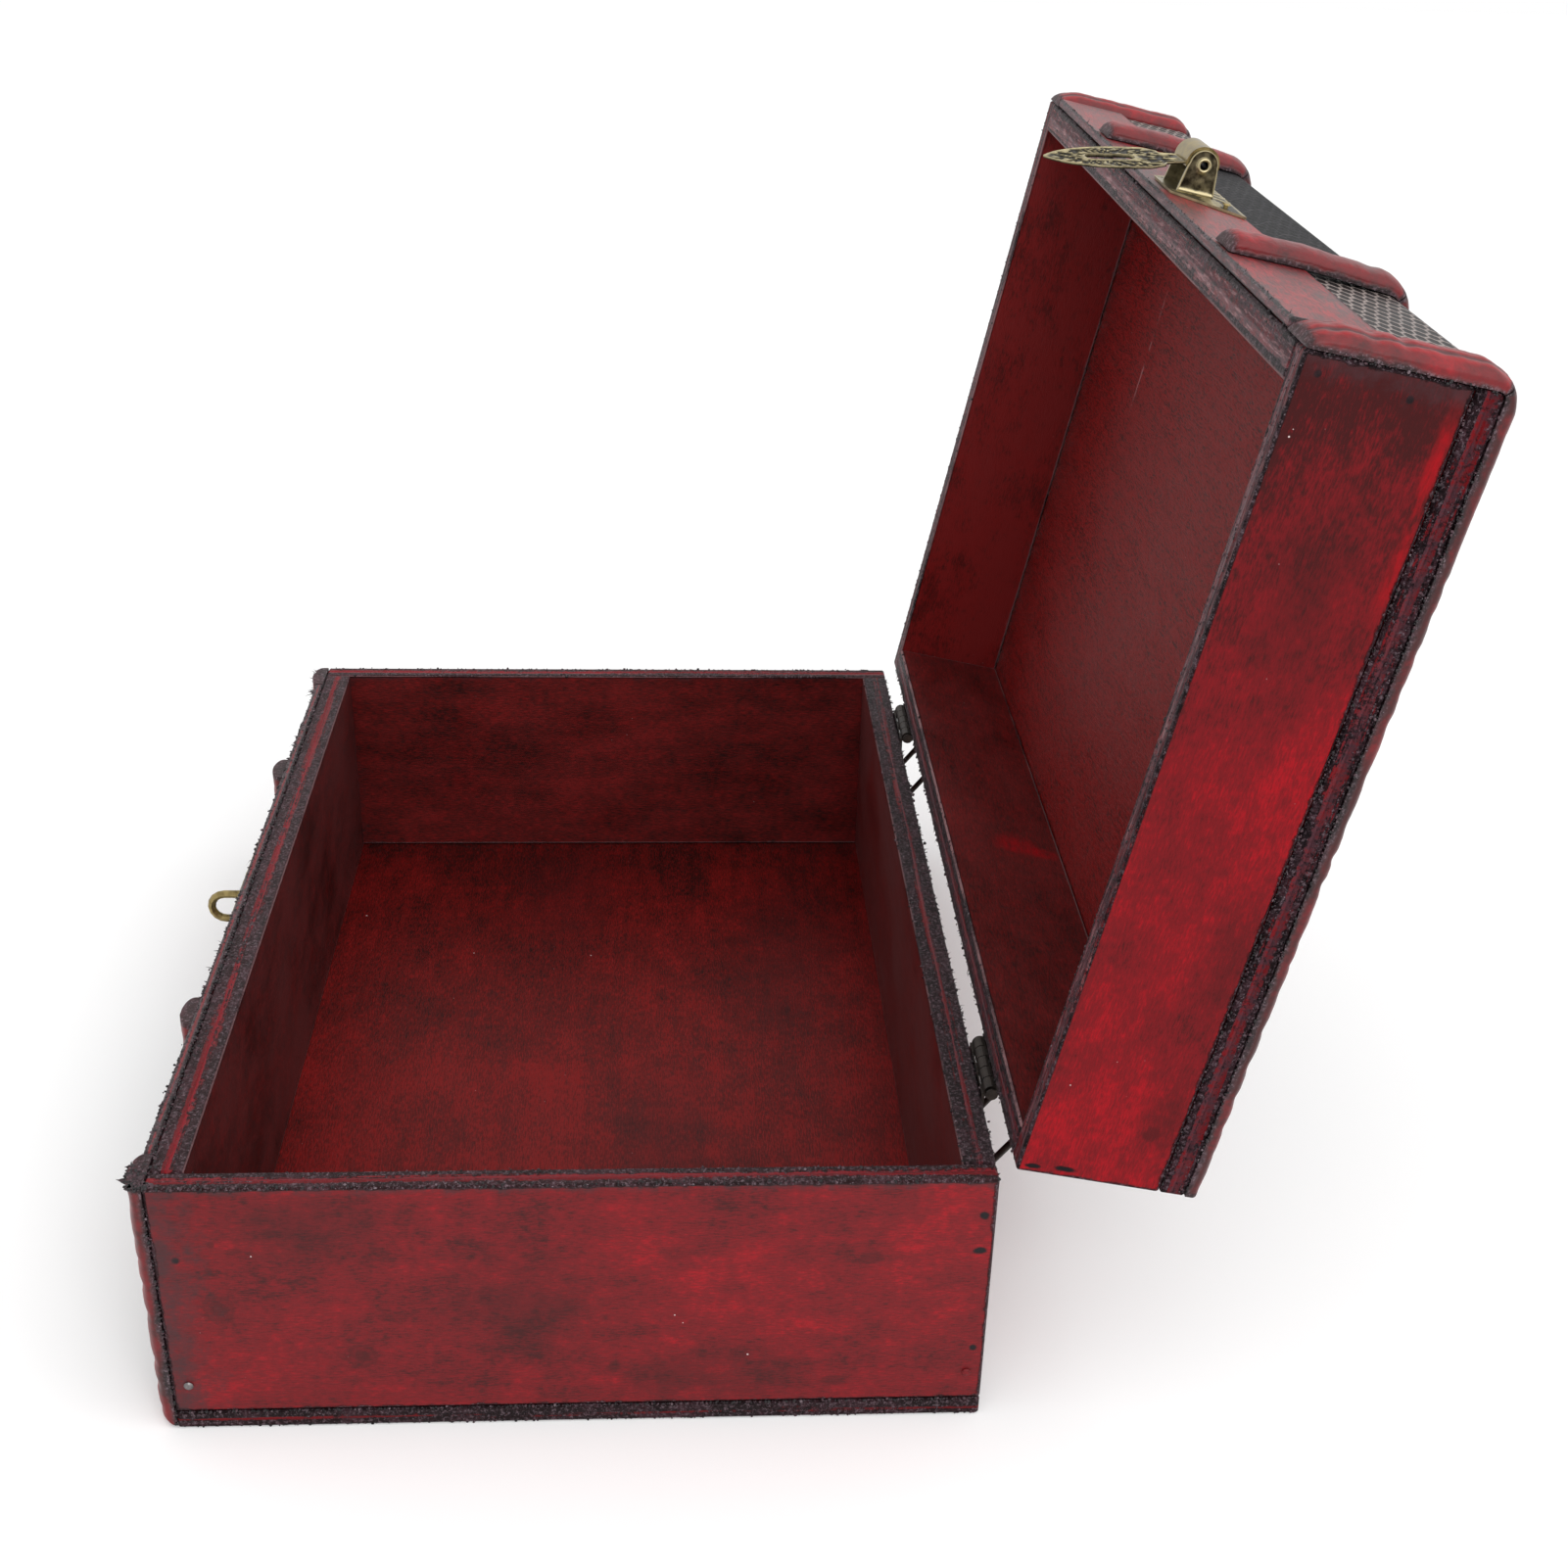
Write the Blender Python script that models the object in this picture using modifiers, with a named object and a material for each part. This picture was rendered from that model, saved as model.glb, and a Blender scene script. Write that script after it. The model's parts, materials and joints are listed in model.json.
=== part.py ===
"""A small wooden jewelry chest with a hinged lid, a hasp and a padlock staple.

The chest stands with its front towards -Y and its bottom on the XY plane. The lid is drawn
closed around the hinge axis and its empty is then turned to the open position. Lengths are
in metres, angles in degrees.
"""

import math

import bmesh
import bpy
from mathutils import Vector

# Plywood case
CHEST_LENGTH = 0.300
CHEST_DEPTH = 0.200
BASE_HEIGHT = 0.074
LID_WALL_HEIGHT = 0.0356
BOTTOM_THICKNESS = 0.0052
TOP_THICKNESS = 0.0062
END_THICKNESS = 0.0065
WALL_THICKNESS = 0.0082
EDGE_SOFTENING = 0.0005
TOP_FRONT_RADIUS = 0.0015

# Clearances
JOINT_GAP = 0.0003
RIM_GAP = 0.0004
NAIL_CLEARANCE = 0.0003
TURNING_CLEARANCE = 0.0003
LATCH_CLEARANCE = 0.0004

# Flat bands and embossed leather on the front and the lid's top
BAND_HEIGHT = 0.0205
BAND_THICKNESS = 0.0025
LEATHER_THICKNESS = 0.0013

# Half-round straps and end trims
STRAP_PLACE_SHARE = 0.48
STRAP_WIDTH = 0.0130
STRAP_THICKNESS = 0.0042
STRAP_SETBACK = 0.0015
TRIM_WIDTH = 0.0140
TRIM_THICKNESS = 0.0048
RAIL_SIDE_SHARE = 0.35
RAIL_CORNER_RADIUS = 0.0100
NOSE_RADIUS = 0.0038
FOOT_CLEARANCE = 0.0008

# Butt hinges on the back
OPEN_ANGLE = 101.7
HINGE_INSET = 0.0465
HINGE_WIDTH = 0.0230
KNUCKLE_COUNT = 5
KNUCKLE_RADIUS = 0.0020
KNUCKLE_WALL_CLEARANCE = 0.0008
PIN_RADIUS = 0.0009
PIN_HEAD_RADIUS = 0.0016
PIN_HEAD_LENGTH = 0.0006
LEAF_THICKNESS = 0.0008
LEAF_HEIGHT = 0.0140
LEAF_NAIL_SPACING_SHARE = 0.6
LEAF_NAIL_HEIGHT_SHARE = 0.65

# Wire stops that the open lid leans on
STOP_WIRE_RADIUS = 0.0010
STOP_WIRE_SPAN = 0.0234
STOP_WIRE_SLOPE = 52.0
STOP_LEAF_CLEARANCE = 0.0015
STOP_WIRE_SEAT = 0.0050
STOP_WIRE_BEND = 0.0025

# Hasp on the lid
PLATE_THICKNESS = 0.0008
PLATE_HEIGHT = 0.0165
HASP_PLATE_RISE = 0.0031
HASP_PLATE_HALF_FOOT = 0.0100
HASP_PLATE_HALF_TOP = 0.0250
HASP_NAIL_OFFSET = 0.0170
HASP_NAIL_RISE = 0.0130
EAR_THICKNESS = 0.0010
EAR_INSIDE_WIDTH = 0.0140
EAR_RADIUS = 0.0046
PIVOT_RISE = 0.0101
PIVOT_STANDOFF = 0.0069
RIVET_RADIUS = 0.0014
RIVET_BORE_RADIUS = 0.0008
RIVET_FLANGE_RADIUS = 0.0020
RIVET_FLANGE_THICKNESS = 0.0004

# Swinging tongue of the hasp
HOOD_RADIUS = 0.0048
TONGUE_THICKNESS = 0.0010
TONGUE_LENGTH = 0.0395
TONGUE_NECK_HALF_WIDTH = 0.0052
TONGUE_HALF_WIDTH = 0.0080
TONGUE_WIDEST_DROP = 0.0190
TONGUE_SHOULDER_DROP = 0.0058
TONGUE_TAPER_DROP = 0.0336
SLOT_SIDE_CLEARANCE = 0.0011
SLOT_END_CLEARANCE = 0.0011

# Staple on the base
STAPLE_PLATE_DROP = 0.0020
STAPLE_PLATE_HALF_TOP = 0.0240
STAPLE_PLATE_HALF_FOOT = 0.0100
STAPLE_NAIL_OFFSET = 0.0150
STAPLE_NAIL_DROP = 0.0050
LOOP_DROP = 0.0115
LOOP_WIRE_RADIUS = 0.0012
LOOP_HALF_HEIGHT = 0.0053
LOOP_REACH = 0.0113
LOOP_SEAT = 0.0060

# Nails
NAIL_SHANK_RADIUS = 0.0006
NAIL_HEAD_RADIUS = 0.0012
NAIL_HEAD_HEIGHT = 0.0005
NAIL_DOME_RADIUS_SHARE = 0.7
NAIL_DOME_HEIGHT_SHARE = 0.75
PLATE_NAIL_LENGTH = 0.0080
LEAF_NAIL_LENGTH = 0.0060
END_NAIL_LENGTH = 0.0160
END_NAIL_RISE = 0.0140

# Fineness of round shapes
ROUND_STEPS = 12
FINE_ROUND_STEPS = 20
HALF_ROUND_STEPS = 8
CURVE_STEPS = 6
CORNER_STEPS = 4
WIRE_RESOLUTION = 2
SHARP_ANGLE = 40.0
MERGE_DISTANCE = 0.00001

# Places that follow from the sizes above
FRONT = -CHEST_DEPTH / 2
BACK = CHEST_DEPTH / 2
LID_RIM = BASE_HEIGHT + RIM_GAP
LID_WALL_TOP = LID_RIM + LID_WALL_HEIGHT
LID_TOP = LID_WALL_TOP + JOINT_GAP + TOP_THICKNESS
BAND_FACE = FRONT - JOINT_GAP - BAND_THICKNESS
LEATHER_FACE = FRONT - JOINT_GAP - LEATHER_THICKNESS
PLATE_FACE = BAND_FACE - JOINT_GAP - PLATE_THICKNESS
COVER_HALF_LENGTH = CHEST_LENGTH / 2 - TRIM_WIDTH - JOINT_GAP
HINGE_OFFSET = CHEST_LENGTH / 2 - HINGE_INSET
HINGE_AXIS = Vector((0.0, BACK + KNUCKLE_RADIUS + KNUCKLE_WALL_CLEARANCE, BASE_HEIGHT + RIM_GAP / 2))
HASP_PIVOT = Vector((0.0, PLATE_FACE - PIVOT_STANDOFF, LID_RIM + PIVOT_RISE))
STAPLE_PLATE_TOP = BASE_HEIGHT - STAPLE_PLATE_DROP
STAPLE_PLATE_FOOT = STAPLE_PLATE_TOP - PLATE_HEIGHT
LOOP_LEVEL = BASE_HEIGHT - LOOP_DROP

COLOURS = {
    "red_wood": ((0.19, 0.012, 0.018, 1.0), 0.42, 0.0),
    "leather": ((0.035, 0.026, 0.024, 1.0), 0.55, 0.0),
    "brass": ((0.36, 0.27, 0.13, 1.0), 0.38, 1.0),
    "bronze": ((0.13, 0.10, 0.075, 1.0), 0.45, 1.0),
    "steel": ((0.45, 0.44, 0.42, 1.0), 0.40, 1.0),
}

TOWARDS = {
    "front": (math.radians(90), 0.0, 0.0),
    "back": (math.radians(-90), 0.0, 0.0),
    "right": (0.0, math.radians(90), 0.0),
    "left": (0.0, math.radians(-90), 0.0),
}


def clear_scene():
    """Remove every object that is already in the file."""
    for old in list(bpy.data.objects):
        bpy.data.objects.remove(old, do_unlink=True)


def new_collection(name):
    collection = bpy.data.collections.new(name)
    bpy.context.scene.collection.children.link(collection)
    return collection


clear_scene()
PARTS = new_collection("jewelry_chest")
CUTTERS = new_collection("jewelry_chest_cutters")


def new_empty(name, parent, location, turn_about_x):
    empty = bpy.data.objects.new(name, None)
    PARTS.objects.link(empty)
    empty.parent = parent
    empty.location = location
    empty.rotation_euler = (turn_about_x, 0.0, 0.0)
    return empty


def tongue_rest_angle():
    """Hang of the tongue behind the vertical at which it still clears the closed base.

    It has to pass over the foot of the staple's plate and, at its tip, over the leather.
    """
    half = TONGUE_THICKNESS / 2 + LATCH_CLEARANCE
    over_plate = (PIVOT_STANDOFF - half) / (HASP_PIVOT.z - STAPLE_PLATE_FOOT)
    over_leather = (LEATHER_FACE - HASP_PIVOT.y - half) / TONGUE_LENGTH
    return min(math.atan(over_plate), math.asin(over_leather))


LID_EMPTY = new_empty("lid_hinge_axis", None, HINGE_AXIS, -math.radians(OPEN_ANGLE))
TONGUE_EMPTY = new_empty("hasp_tongue_axis", LID_EMPTY, HASP_PIVOT - HINGE_AXIS, tongue_rest_angle())
CARRIERS = {
    "base": (None, Vector((0.0, 0.0, 0.0))),
    "lid": (LID_EMPTY, HINGE_AXIS),
    "tongue": (TONGUE_EMPTY, HASP_PIVOT),
}


def opened(y, z):
    """Place of a point of the closed lid once the lid stands open, as (y, z)."""
    turn = math.radians(OPEN_ANGLE)
    dy = y - HINGE_AXIS.y
    dz = z - HINGE_AXIS.z
    return (HINGE_AXIS.y + dy * math.cos(turn) + dz * math.sin(turn),
            HINGE_AXIS.z - dy * math.sin(turn) + dz * math.cos(turn))


def attach(obj, carrier, position, rotation=(0.0, 0.0, 0.0)):
    """Put an object at a place given for the closed chest, on what carries it."""
    parent, origin = CARRIERS[carrier]
    obj.parent = parent
    obj.location = Vector(position) - origin
    obj.rotation_euler = rotation


def paint(obj, finish):
    """Give a piece its own material in one of the chest's finishes."""
    colour, roughness, metallic = COLOURS[finish]
    material = bpy.data.materials.new(obj.name + "_" + finish)
    material.use_nodes = True
    shader = material.node_tree.nodes["Principled BSDF"]
    shader.inputs["Base Color"].default_value = colour
    shader.inputs["Roughness"].default_value = roughness
    shader.inputs["Metallic"].default_value = metallic
    material.diffuse_color = colour
    obj.data.materials.clear()
    obj.data.materials.append(material)


def mesh_object(name, bm, finish=None):
    """Turn a bmesh into a part, or into a cutter where no finish is given."""
    mesh = bpy.data.meshes.new(name)
    bm.to_mesh(mesh)
    bm.free()
    obj = bpy.data.objects.new(name, mesh)
    if finish:
        PARTS.objects.link(obj)
        paint(obj, finish)
    else:
        CUTTERS.objects.link(obj)
        obj.hide_render = True
        obj.display_type = "WIRE"
    return obj


def box_bmesh(size):
    bm = bmesh.new()
    bmesh.ops.create_cube(bm, size=1.0)
    bmesh.ops.scale(bm, vec=size, verts=bm.verts)
    return bm


def soften(obj, width):
    """Break the sharp edges of a board."""
    bevel = obj.modifiers.new("softened_edges", "BEVEL")
    bevel.width = width
    bevel.segments = 1
    bevel.limit_method = "ANGLE"
    bevel.angle_limit = math.radians(SHARP_ANGLE)


def board(name, carrier, low, high, finish):
    """A flat board between two corners, with softened edges."""
    low = Vector(low)
    high = Vector(high)
    obj = mesh_object(name, box_bmesh(high - low), finish)
    attach(obj, carrier, (low + high) / 2)
    soften(obj, EDGE_SOFTENING)
    return obj


def cylinder(name, radius, depth, steps=ROUND_STEPS, finish=None):
    bm = bmesh.new()
    bmesh.ops.create_cone(bm, cap_ends=True, segments=steps, radius1=radius, radius2=radius, depth=depth)
    return mesh_object(name, bm, finish)


def boolean(target, tool, operation):
    modifier = target.modifiers.new(operation.lower() + "_" + tool.name, "BOOLEAN")
    modifier.operation = operation
    modifier.object = tool
    modifier.solver = "EXACT"


def drill(targets, carrier, position, facing, radius, depth):
    """Cut one round hole, centred on a face and reaching the depth on both sides of it."""
    cutter = cylinder("hole_" + targets[0].name, radius, 2 * depth)
    attach(cutter, carrier, position, TOWARDS[facing])
    for target in targets:
        boolean(target, cutter, "DIFFERENCE")


def turned(name, profile, steps, finish):
    """Turn a profile of (radius, height) points, listed down its outer side, about Z."""
    mesh = bpy.data.meshes.new(name)
    closed = profile[0] == profile[-1]
    corners = profile[:-1] if closed else profile
    points = [(radius, 0.0, height) for radius, height in corners]
    edges = [(i, (i + 1) % len(points)) for i in range(len(profile) - 1)]
    mesh.from_pydata(points, edges, [])
    obj = bpy.data.objects.new(name, mesh)
    PARTS.objects.link(obj)
    screw = obj.modifiers.new("turned", "SCREW")
    screw.axis = "Z"
    screw.angle = math.radians(360)
    screw.steps = steps
    screw.render_steps = steps
    screw.use_merge_vertices = True
    screw.merge_threshold = MERGE_DISTANCE
    screw.use_smooth_shade = True
    paint(obj, finish)
    return obj


def nail(name, carrier, position, facing, length, targets, finish):
    """A round-headed nail whose head sits on a face, with its hole in what it goes through."""
    shank = NAIL_SHANK_RADIUS
    head = NAIL_HEAD_RADIUS
    dome = (head * NAIL_DOME_RADIUS_SHARE, NAIL_HEAD_HEIGHT * NAIL_DOME_HEIGHT_SHARE)
    tip = [(shank, 0.0), (shank, shank - length), (0.0, -length)]
    profile = [(0.0, NAIL_HEAD_HEIGHT), dome, (head, 0.0)] + tip
    obj = turned(name, profile, ROUND_STEPS, finish)
    outward = {"front": (0, -1, 0), "back": (0, 1, 0), "right": (1, 0, 0), "left": (-1, 0, 0)}[facing]
    attach(obj, carrier, Vector(position) + JOINT_GAP * Vector(outward), TOWARDS[facing])
    drill(targets, carrier, position, facing, shank + NAIL_CLEARANCE, length + NAIL_CLEARANCE)
    return obj


def outline_bmesh(outlines, thickness):
    """A flat solid from closed outlines in the XY plane; an inner outline is a hole."""
    curve = bpy.data.curves.new("outline", "CURVE")
    curve.dimensions = "2D"
    curve.fill_mode = "BOTH"
    curve.extrude = thickness / 2
    for outline in outlines:
        spline = curve.splines.new("POLY")
        spline.points.add(len(outline) - 1)
        for point, (x, y) in zip(spline.points, outline):
            point.co = (x, y, 0.0, 1.0)
        spline.use_cyclic_u = True
    holder = bpy.data.objects.new("outline", curve)
    PARTS.objects.link(holder)
    graph = bpy.context.evaluated_depsgraph_get()
    mesh = bpy.data.meshes.new_from_object(holder.evaluated_get(graph))
    bm = bmesh.new()
    bm.from_mesh(mesh)
    bmesh.ops.remove_doubles(bm, verts=bm.verts, dist=MERGE_DISTANCE)
    bmesh.ops.recalc_face_normals(bm, faces=bm.faces)
    bpy.data.objects.remove(holder, do_unlink=True)
    bpy.data.curves.remove(curve)
    bpy.data.meshes.remove(mesh)
    return bm


def arc(centre, radius, start, end, steps):
    """Points on an arc about a centre, from one angle to another in degrees."""
    angles = [math.radians(start + (end - start) * i / steps) for i in range(steps + 1)]
    return [(centre[0] + radius * math.cos(a), centre[1] + radius * math.sin(a)) for a in angles]


def quadratic(start, middle, end, steps):
    """Points after the start on a curve that is pulled towards a middle point."""
    points = []
    for i in range(1, steps + 1):
        t = i / steps
        weights = ((1 - t) ** 2, 2 * t * (1 - t), t ** 2)
        points.append(tuple(weights[0] * a + weights[1] * b + weights[2] * c
                            for a, b, c in zip(start, middle, end)))
    return points


def mirrored_outline(right_side):
    """Close an outline whose right half runs from the bottom to the top."""
    left_side = [(-x, y) for x, y in reversed(right_side) if x > 0]
    return right_side + left_side


def wire(name, points, radius, carrier, finish):
    """A round wire along a path in space, drawn as a bevelled curve."""
    curve = bpy.data.curves.new(name, "CURVE")
    curve.dimensions = "3D"
    curve.bevel_depth = radius
    curve.bevel_resolution = WIRE_RESOLUTION
    curve.use_fill_caps = True
    spline = curve.splines.new("POLY")
    spline.points.add(len(points) - 1)
    origin = Vector(points[0])
    for control, point in zip(spline.points, points):
        control.co = (*(Vector(point) - origin), 1.0)
    obj = bpy.data.objects.new(name, curve)
    PARTS.objects.link(obj)
    paint(obj, finish)
    attach(obj, carrier, origin)
    return obj


def rail(name, carrier, x_centre, width, stations):
    """A half-round rail with a flat back, lofted through stations.

    Each station is a point (y, z) on the middle of the back and the crest point above it.
    """
    half = width / 2
    crown = 1 - RAIL_SIDE_SHARE
    section = [(half, 0.0)]
    for u, v in arc((0, 0), half, 0, 180, HALF_ROUND_STEPS):
        section.append((u, RAIL_SIDE_SHARE + crown * v / half))
    section += [(-half, 0.0)]
    origin = Vector((x_centre, *stations[0][0]))
    bm = bmesh.new()
    rings = []
    for (back_y, back_z), (crest_y, crest_z) in stations:
        ring = []
        for u, share in section:
            y = back_y + (crest_y - back_y) * share
            z = back_z + (crest_z - back_z) * share
            ring.append(bm.verts.new(Vector((x_centre + u, y, z)) - origin))
        rings.append(ring)
    for near, far in zip(rings, rings[1:]):
        for i in range(len(section)):
            j = (i + 1) % len(section)
            bm.faces.new((near[i], near[j], far[j], far[i]))
    bm.faces.new(rings[0])
    bm.faces.new(list(reversed(rings[-1])))
    bmesh.ops.recalc_face_normals(bm, faces=bm.faces)
    obj = mesh_object(name, bm, "red_wood")
    attach(obj, carrier, origin)
    obj.data.shade_smooth()
    obj.data.set_sharp_from_angle(angle=math.radians(SHARP_ANGLE))
    return obj


def corner_station(angle, offset, thickness, shift=0.0):
    """Back and crest of a rail, at one angle round the lid's front top corner.

    The offset says how far the back lies from the lid's own front and top. The shift moves
    the station along the mitre from the front towards the top.
    """
    cosine = math.cos(math.radians(angle))
    sine = math.sin(math.radians(angle))
    step = shift * math.sqrt(0.5)
    back_y = FRONT + TOP_FRONT_RADIUS + (TOP_FRONT_RADIUS + offset) * cosine
    back_z = LID_TOP - TOP_FRONT_RADIUS + (TOP_FRONT_RADIUS + offset) * sine
    crest_y = FRONT - offset - thickness + RAIL_CORNER_RADIUS * (1 + cosine)
    crest_z = LID_TOP + offset + thickness - RAIL_CORNER_RADIUS * (1 - sine)
    return (back_y + step, back_z + step), (crest_y + step, crest_z + step)


def corner_angles(start, end):
    return [start + (end - start) * i / CORNER_STEPS for i in range(CORNER_STEPS + 1)]


def base_rail_stations(rim_offset, far_offset, thickness, setback):
    """Down the base's front to a nose that is rounded in towards the bottom.

    The back lies at the rim's offset over the band, then leans in to the far offset.
    """
    stations = []
    for z in (BASE_HEIGHT - setback, BASE_HEIGHT - BAND_HEIGHT):
        stations.append(((FRONT - rim_offset, z), (FRONT - rim_offset - thickness, z)))
    back = FRONT - far_offset
    centre = (back - thickness + NOSE_RADIUS, FOOT_CLEARANCE + NOSE_RADIUS)
    for y, z in arc(centre, NOSE_RADIUS, 180, 270, CORNER_STEPS):
        stations.append(((back, z), (y, z)))
    return stations


def lid_front_rail_stations(rim_offset, far_offset, thickness, setback):
    """Up the lid's front, over the band first, and round the corner as far as the mitre."""
    stations = []
    for z in (LID_RIM + setback, LID_RIM + BAND_HEIGHT):
        stations.append(((FRONT - rim_offset, z), (FRONT - rim_offset - thickness, z)))
    for angle in corner_angles(180, 135):
        shift = -JOINT_GAP / 2 if angle == 135 else 0.0
        stations.append(corner_station(angle, far_offset, thickness, shift))
    return stations


def lid_top_rail_stations(offset, thickness):
    """From the mitre over the lid's top to its back edge."""
    back = LID_TOP + offset
    stations = []
    for angle in corner_angles(135, 90):
        shift = JOINT_GAP / 2 if angle == 135 else 0.0
        stations.append(corner_station(angle, offset, thickness, shift))
    return stations + [((BACK, back), (BACK, back + thickness))]


def make_base_case():
    """Bottom, two ends that run the full depth, and the two walls between them."""
    half = CHEST_LENGTH / 2
    inside = half - END_THICKNESS
    floor = BOTTOM_THICKNESS + JOINT_GAP
    parts = {}
    parts["bottom"] = board("base_bottom_panel", "base", (-half, FRONT, 0.0),
                            (half, BACK, BOTTOM_THICKNESS), "red_wood")
    for side, sign in (("left", -1), ("right", 1)):
        low, high = sorted((sign * half, sign * inside))
        parts[side] = board("base_end_" + side, "base", (low, FRONT, floor),
                            (high, BACK, BASE_HEIGHT), "red_wood")
    reach = inside - JOINT_GAP
    parts["front"] = board("base_front_wall", "base", (-reach, FRONT, floor),
                           (reach, FRONT + WALL_THICKNESS, BASE_HEIGHT), "red_wood")
    parts["back"] = board("base_back_wall", "base", (-reach, BACK - WALL_THICKNESS, floor),
                          (reach, BACK, BASE_HEIGHT), "red_wood")
    return parts


def make_lid_case():
    """The lid's box, drawn closed: ends, walls and a top panel with a rounded front edge."""
    half = CHEST_LENGTH / 2
    inside = half - END_THICKNESS
    parts = {}
    for side, sign in (("left", -1), ("right", 1)):
        low, high = sorted((sign * half, sign * inside))
        parts[side] = board("lid_end_" + side, "lid", (low, FRONT, LID_RIM),
                            (high, BACK, LID_WALL_TOP), "red_wood")
    reach = inside - JOINT_GAP
    parts["front"] = board("lid_front_wall", "lid", (-reach, FRONT, LID_RIM),
                           (reach, FRONT + WALL_THICKNESS, LID_WALL_TOP), "red_wood")
    parts["back"] = board("lid_back_wall", "lid", (-reach, BACK - WALL_THICKNESS, LID_RIM),
                          (reach, BACK, LID_WALL_TOP), "red_wood")
    bm = box_bmesh((CHEST_LENGTH, CHEST_DEPTH, TOP_THICKNESS))
    front_top = [e for e in bm.edges if all(v.co.y < 0 and v.co.z > 0 for v in e.verts)]
    bmesh.ops.bevel(bm, geom=front_top, offset=TOP_FRONT_RADIUS, segments=CORNER_STEPS,
                    affect="EDGES", profile=0.5)
    parts["top"] = mesh_object("lid_top_panel", bm, "red_wood")
    attach(parts["top"], "lid", (0.0, 0.0, LID_TOP - TOP_THICKNESS / 2))
    soften(parts["top"], EDGE_SOFTENING)
    return parts


def make_front_covering():
    """Wooden bands along the rims and the leather between the end trims."""
    reach = COVER_HALF_LENGTH
    back = FRONT - JOINT_GAP
    parts = {}
    base_band_foot = BASE_HEIGHT - BAND_HEIGHT
    parts["base_band"] = board("base_front_band", "base", (-reach, BAND_FACE, base_band_foot),
                               (reach, back, BASE_HEIGHT), "red_wood")
    parts["base_leather"] = board("base_front_leather", "base", (-reach, LEATHER_FACE, FOOT_CLEARANCE),
                                  (reach, back, base_band_foot - JOINT_GAP), "leather")
    lid_band_top = LID_RIM + BAND_HEIGHT
    parts["lid_band"] = board("lid_front_band", "lid", (-reach, BAND_FACE, LID_RIM),
                              (reach, back, lid_band_top), "red_wood")
    inner = [(back, lid_band_top + JOINT_GAP)]
    bends = corner_angles(180, 90)
    inner += [corner_station(angle, JOINT_GAP, LEATHER_THICKNESS)[0] for angle in bends]
    inner += [(BACK, LID_TOP + JOINT_GAP)]
    outer = [(LEATHER_FACE, lid_band_top + JOINT_GAP)]
    face = JOINT_GAP + LEATHER_THICKNESS
    outer += [corner_station(angle, face, LEATHER_THICKNESS)[0] for angle in bends]
    outer += [(BACK, LID_TOP + JOINT_GAP + LEATHER_THICKNESS)]
    sheet = outline_bmesh([inner + list(reversed(outer))], 2 * reach)
    bmesh.ops.translate(sheet, vec=(-FRONT, -LID_TOP, 0.0), verts=sheet.verts)
    parts["lid_leather"] = mesh_object("lid_leather_cover", sheet, "leather")
    attach(parts["lid_leather"], "lid", (0.0, FRONT, LID_TOP), (math.radians(90), 0.0, math.radians(90)))
    return parts


def make_rails():
    """Straps and end trims: upright on the base, and over the lid's front and top.

    The straps lie on the bands and lean in to the leather beyond them, the trims lie on the wood.
    """
    over_band = JOINT_GAP + BAND_THICKNESS + JOINT_GAP
    over_leather = JOINT_GAP + LEATHER_THICKNESS + JOINT_GAP
    strap_place = CHEST_LENGTH / 2 * STRAP_PLACE_SHARE
    trim_place = CHEST_LENGTH / 2 - TRIM_WIDTH / 2
    kinds = (("strap", strap_place, STRAP_WIDTH, STRAP_THICKNESS, over_band, over_leather, STRAP_SETBACK),
             ("end_trim", trim_place, TRIM_WIDTH, TRIM_THICKNESS, JOINT_GAP, JOINT_GAP, 0.0))
    for kind, place, width, thickness, rim_offset, far_offset, setback in kinds:
        on_base = base_rail_stations(rim_offset, far_offset, thickness, setback)
        on_front = lid_front_rail_stations(rim_offset, far_offset, thickness, setback)
        on_top = lid_top_rail_stations(far_offset, thickness)
        for side, sign in (("left", -1), ("right", 1)):
            rail("base_" + kind + "_" + side, "base", sign * place, width, on_base)
            rail("lid_front_" + kind + "_" + side, "lid", sign * place, width, on_front)
            rail("lid_top_" + kind + "_" + side, "lid", sign * place, width, on_top)


def knuckle_slots():
    """Start and end of each knuckle along the hinge, measured from the hinge's middle."""
    pitch = HINGE_WIDTH / KNUCKLE_COUNT
    return [(-HINGE_WIDTH / 2 + i * pitch, -HINGE_WIDTH / 2 + (i + 1) * pitch) for i in range(KNUCKLE_COUNT)]


def hinge_cutter(name, carrier, x_start, x_end, radius, steps):
    cutter = cylinder(name, radius, x_end - x_start, steps)
    attach(cutter, carrier, ((x_start + x_end) / 2, HINGE_AXIS.y, HINGE_AXIS.z), TOWARDS["right"])
    return cutter


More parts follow.
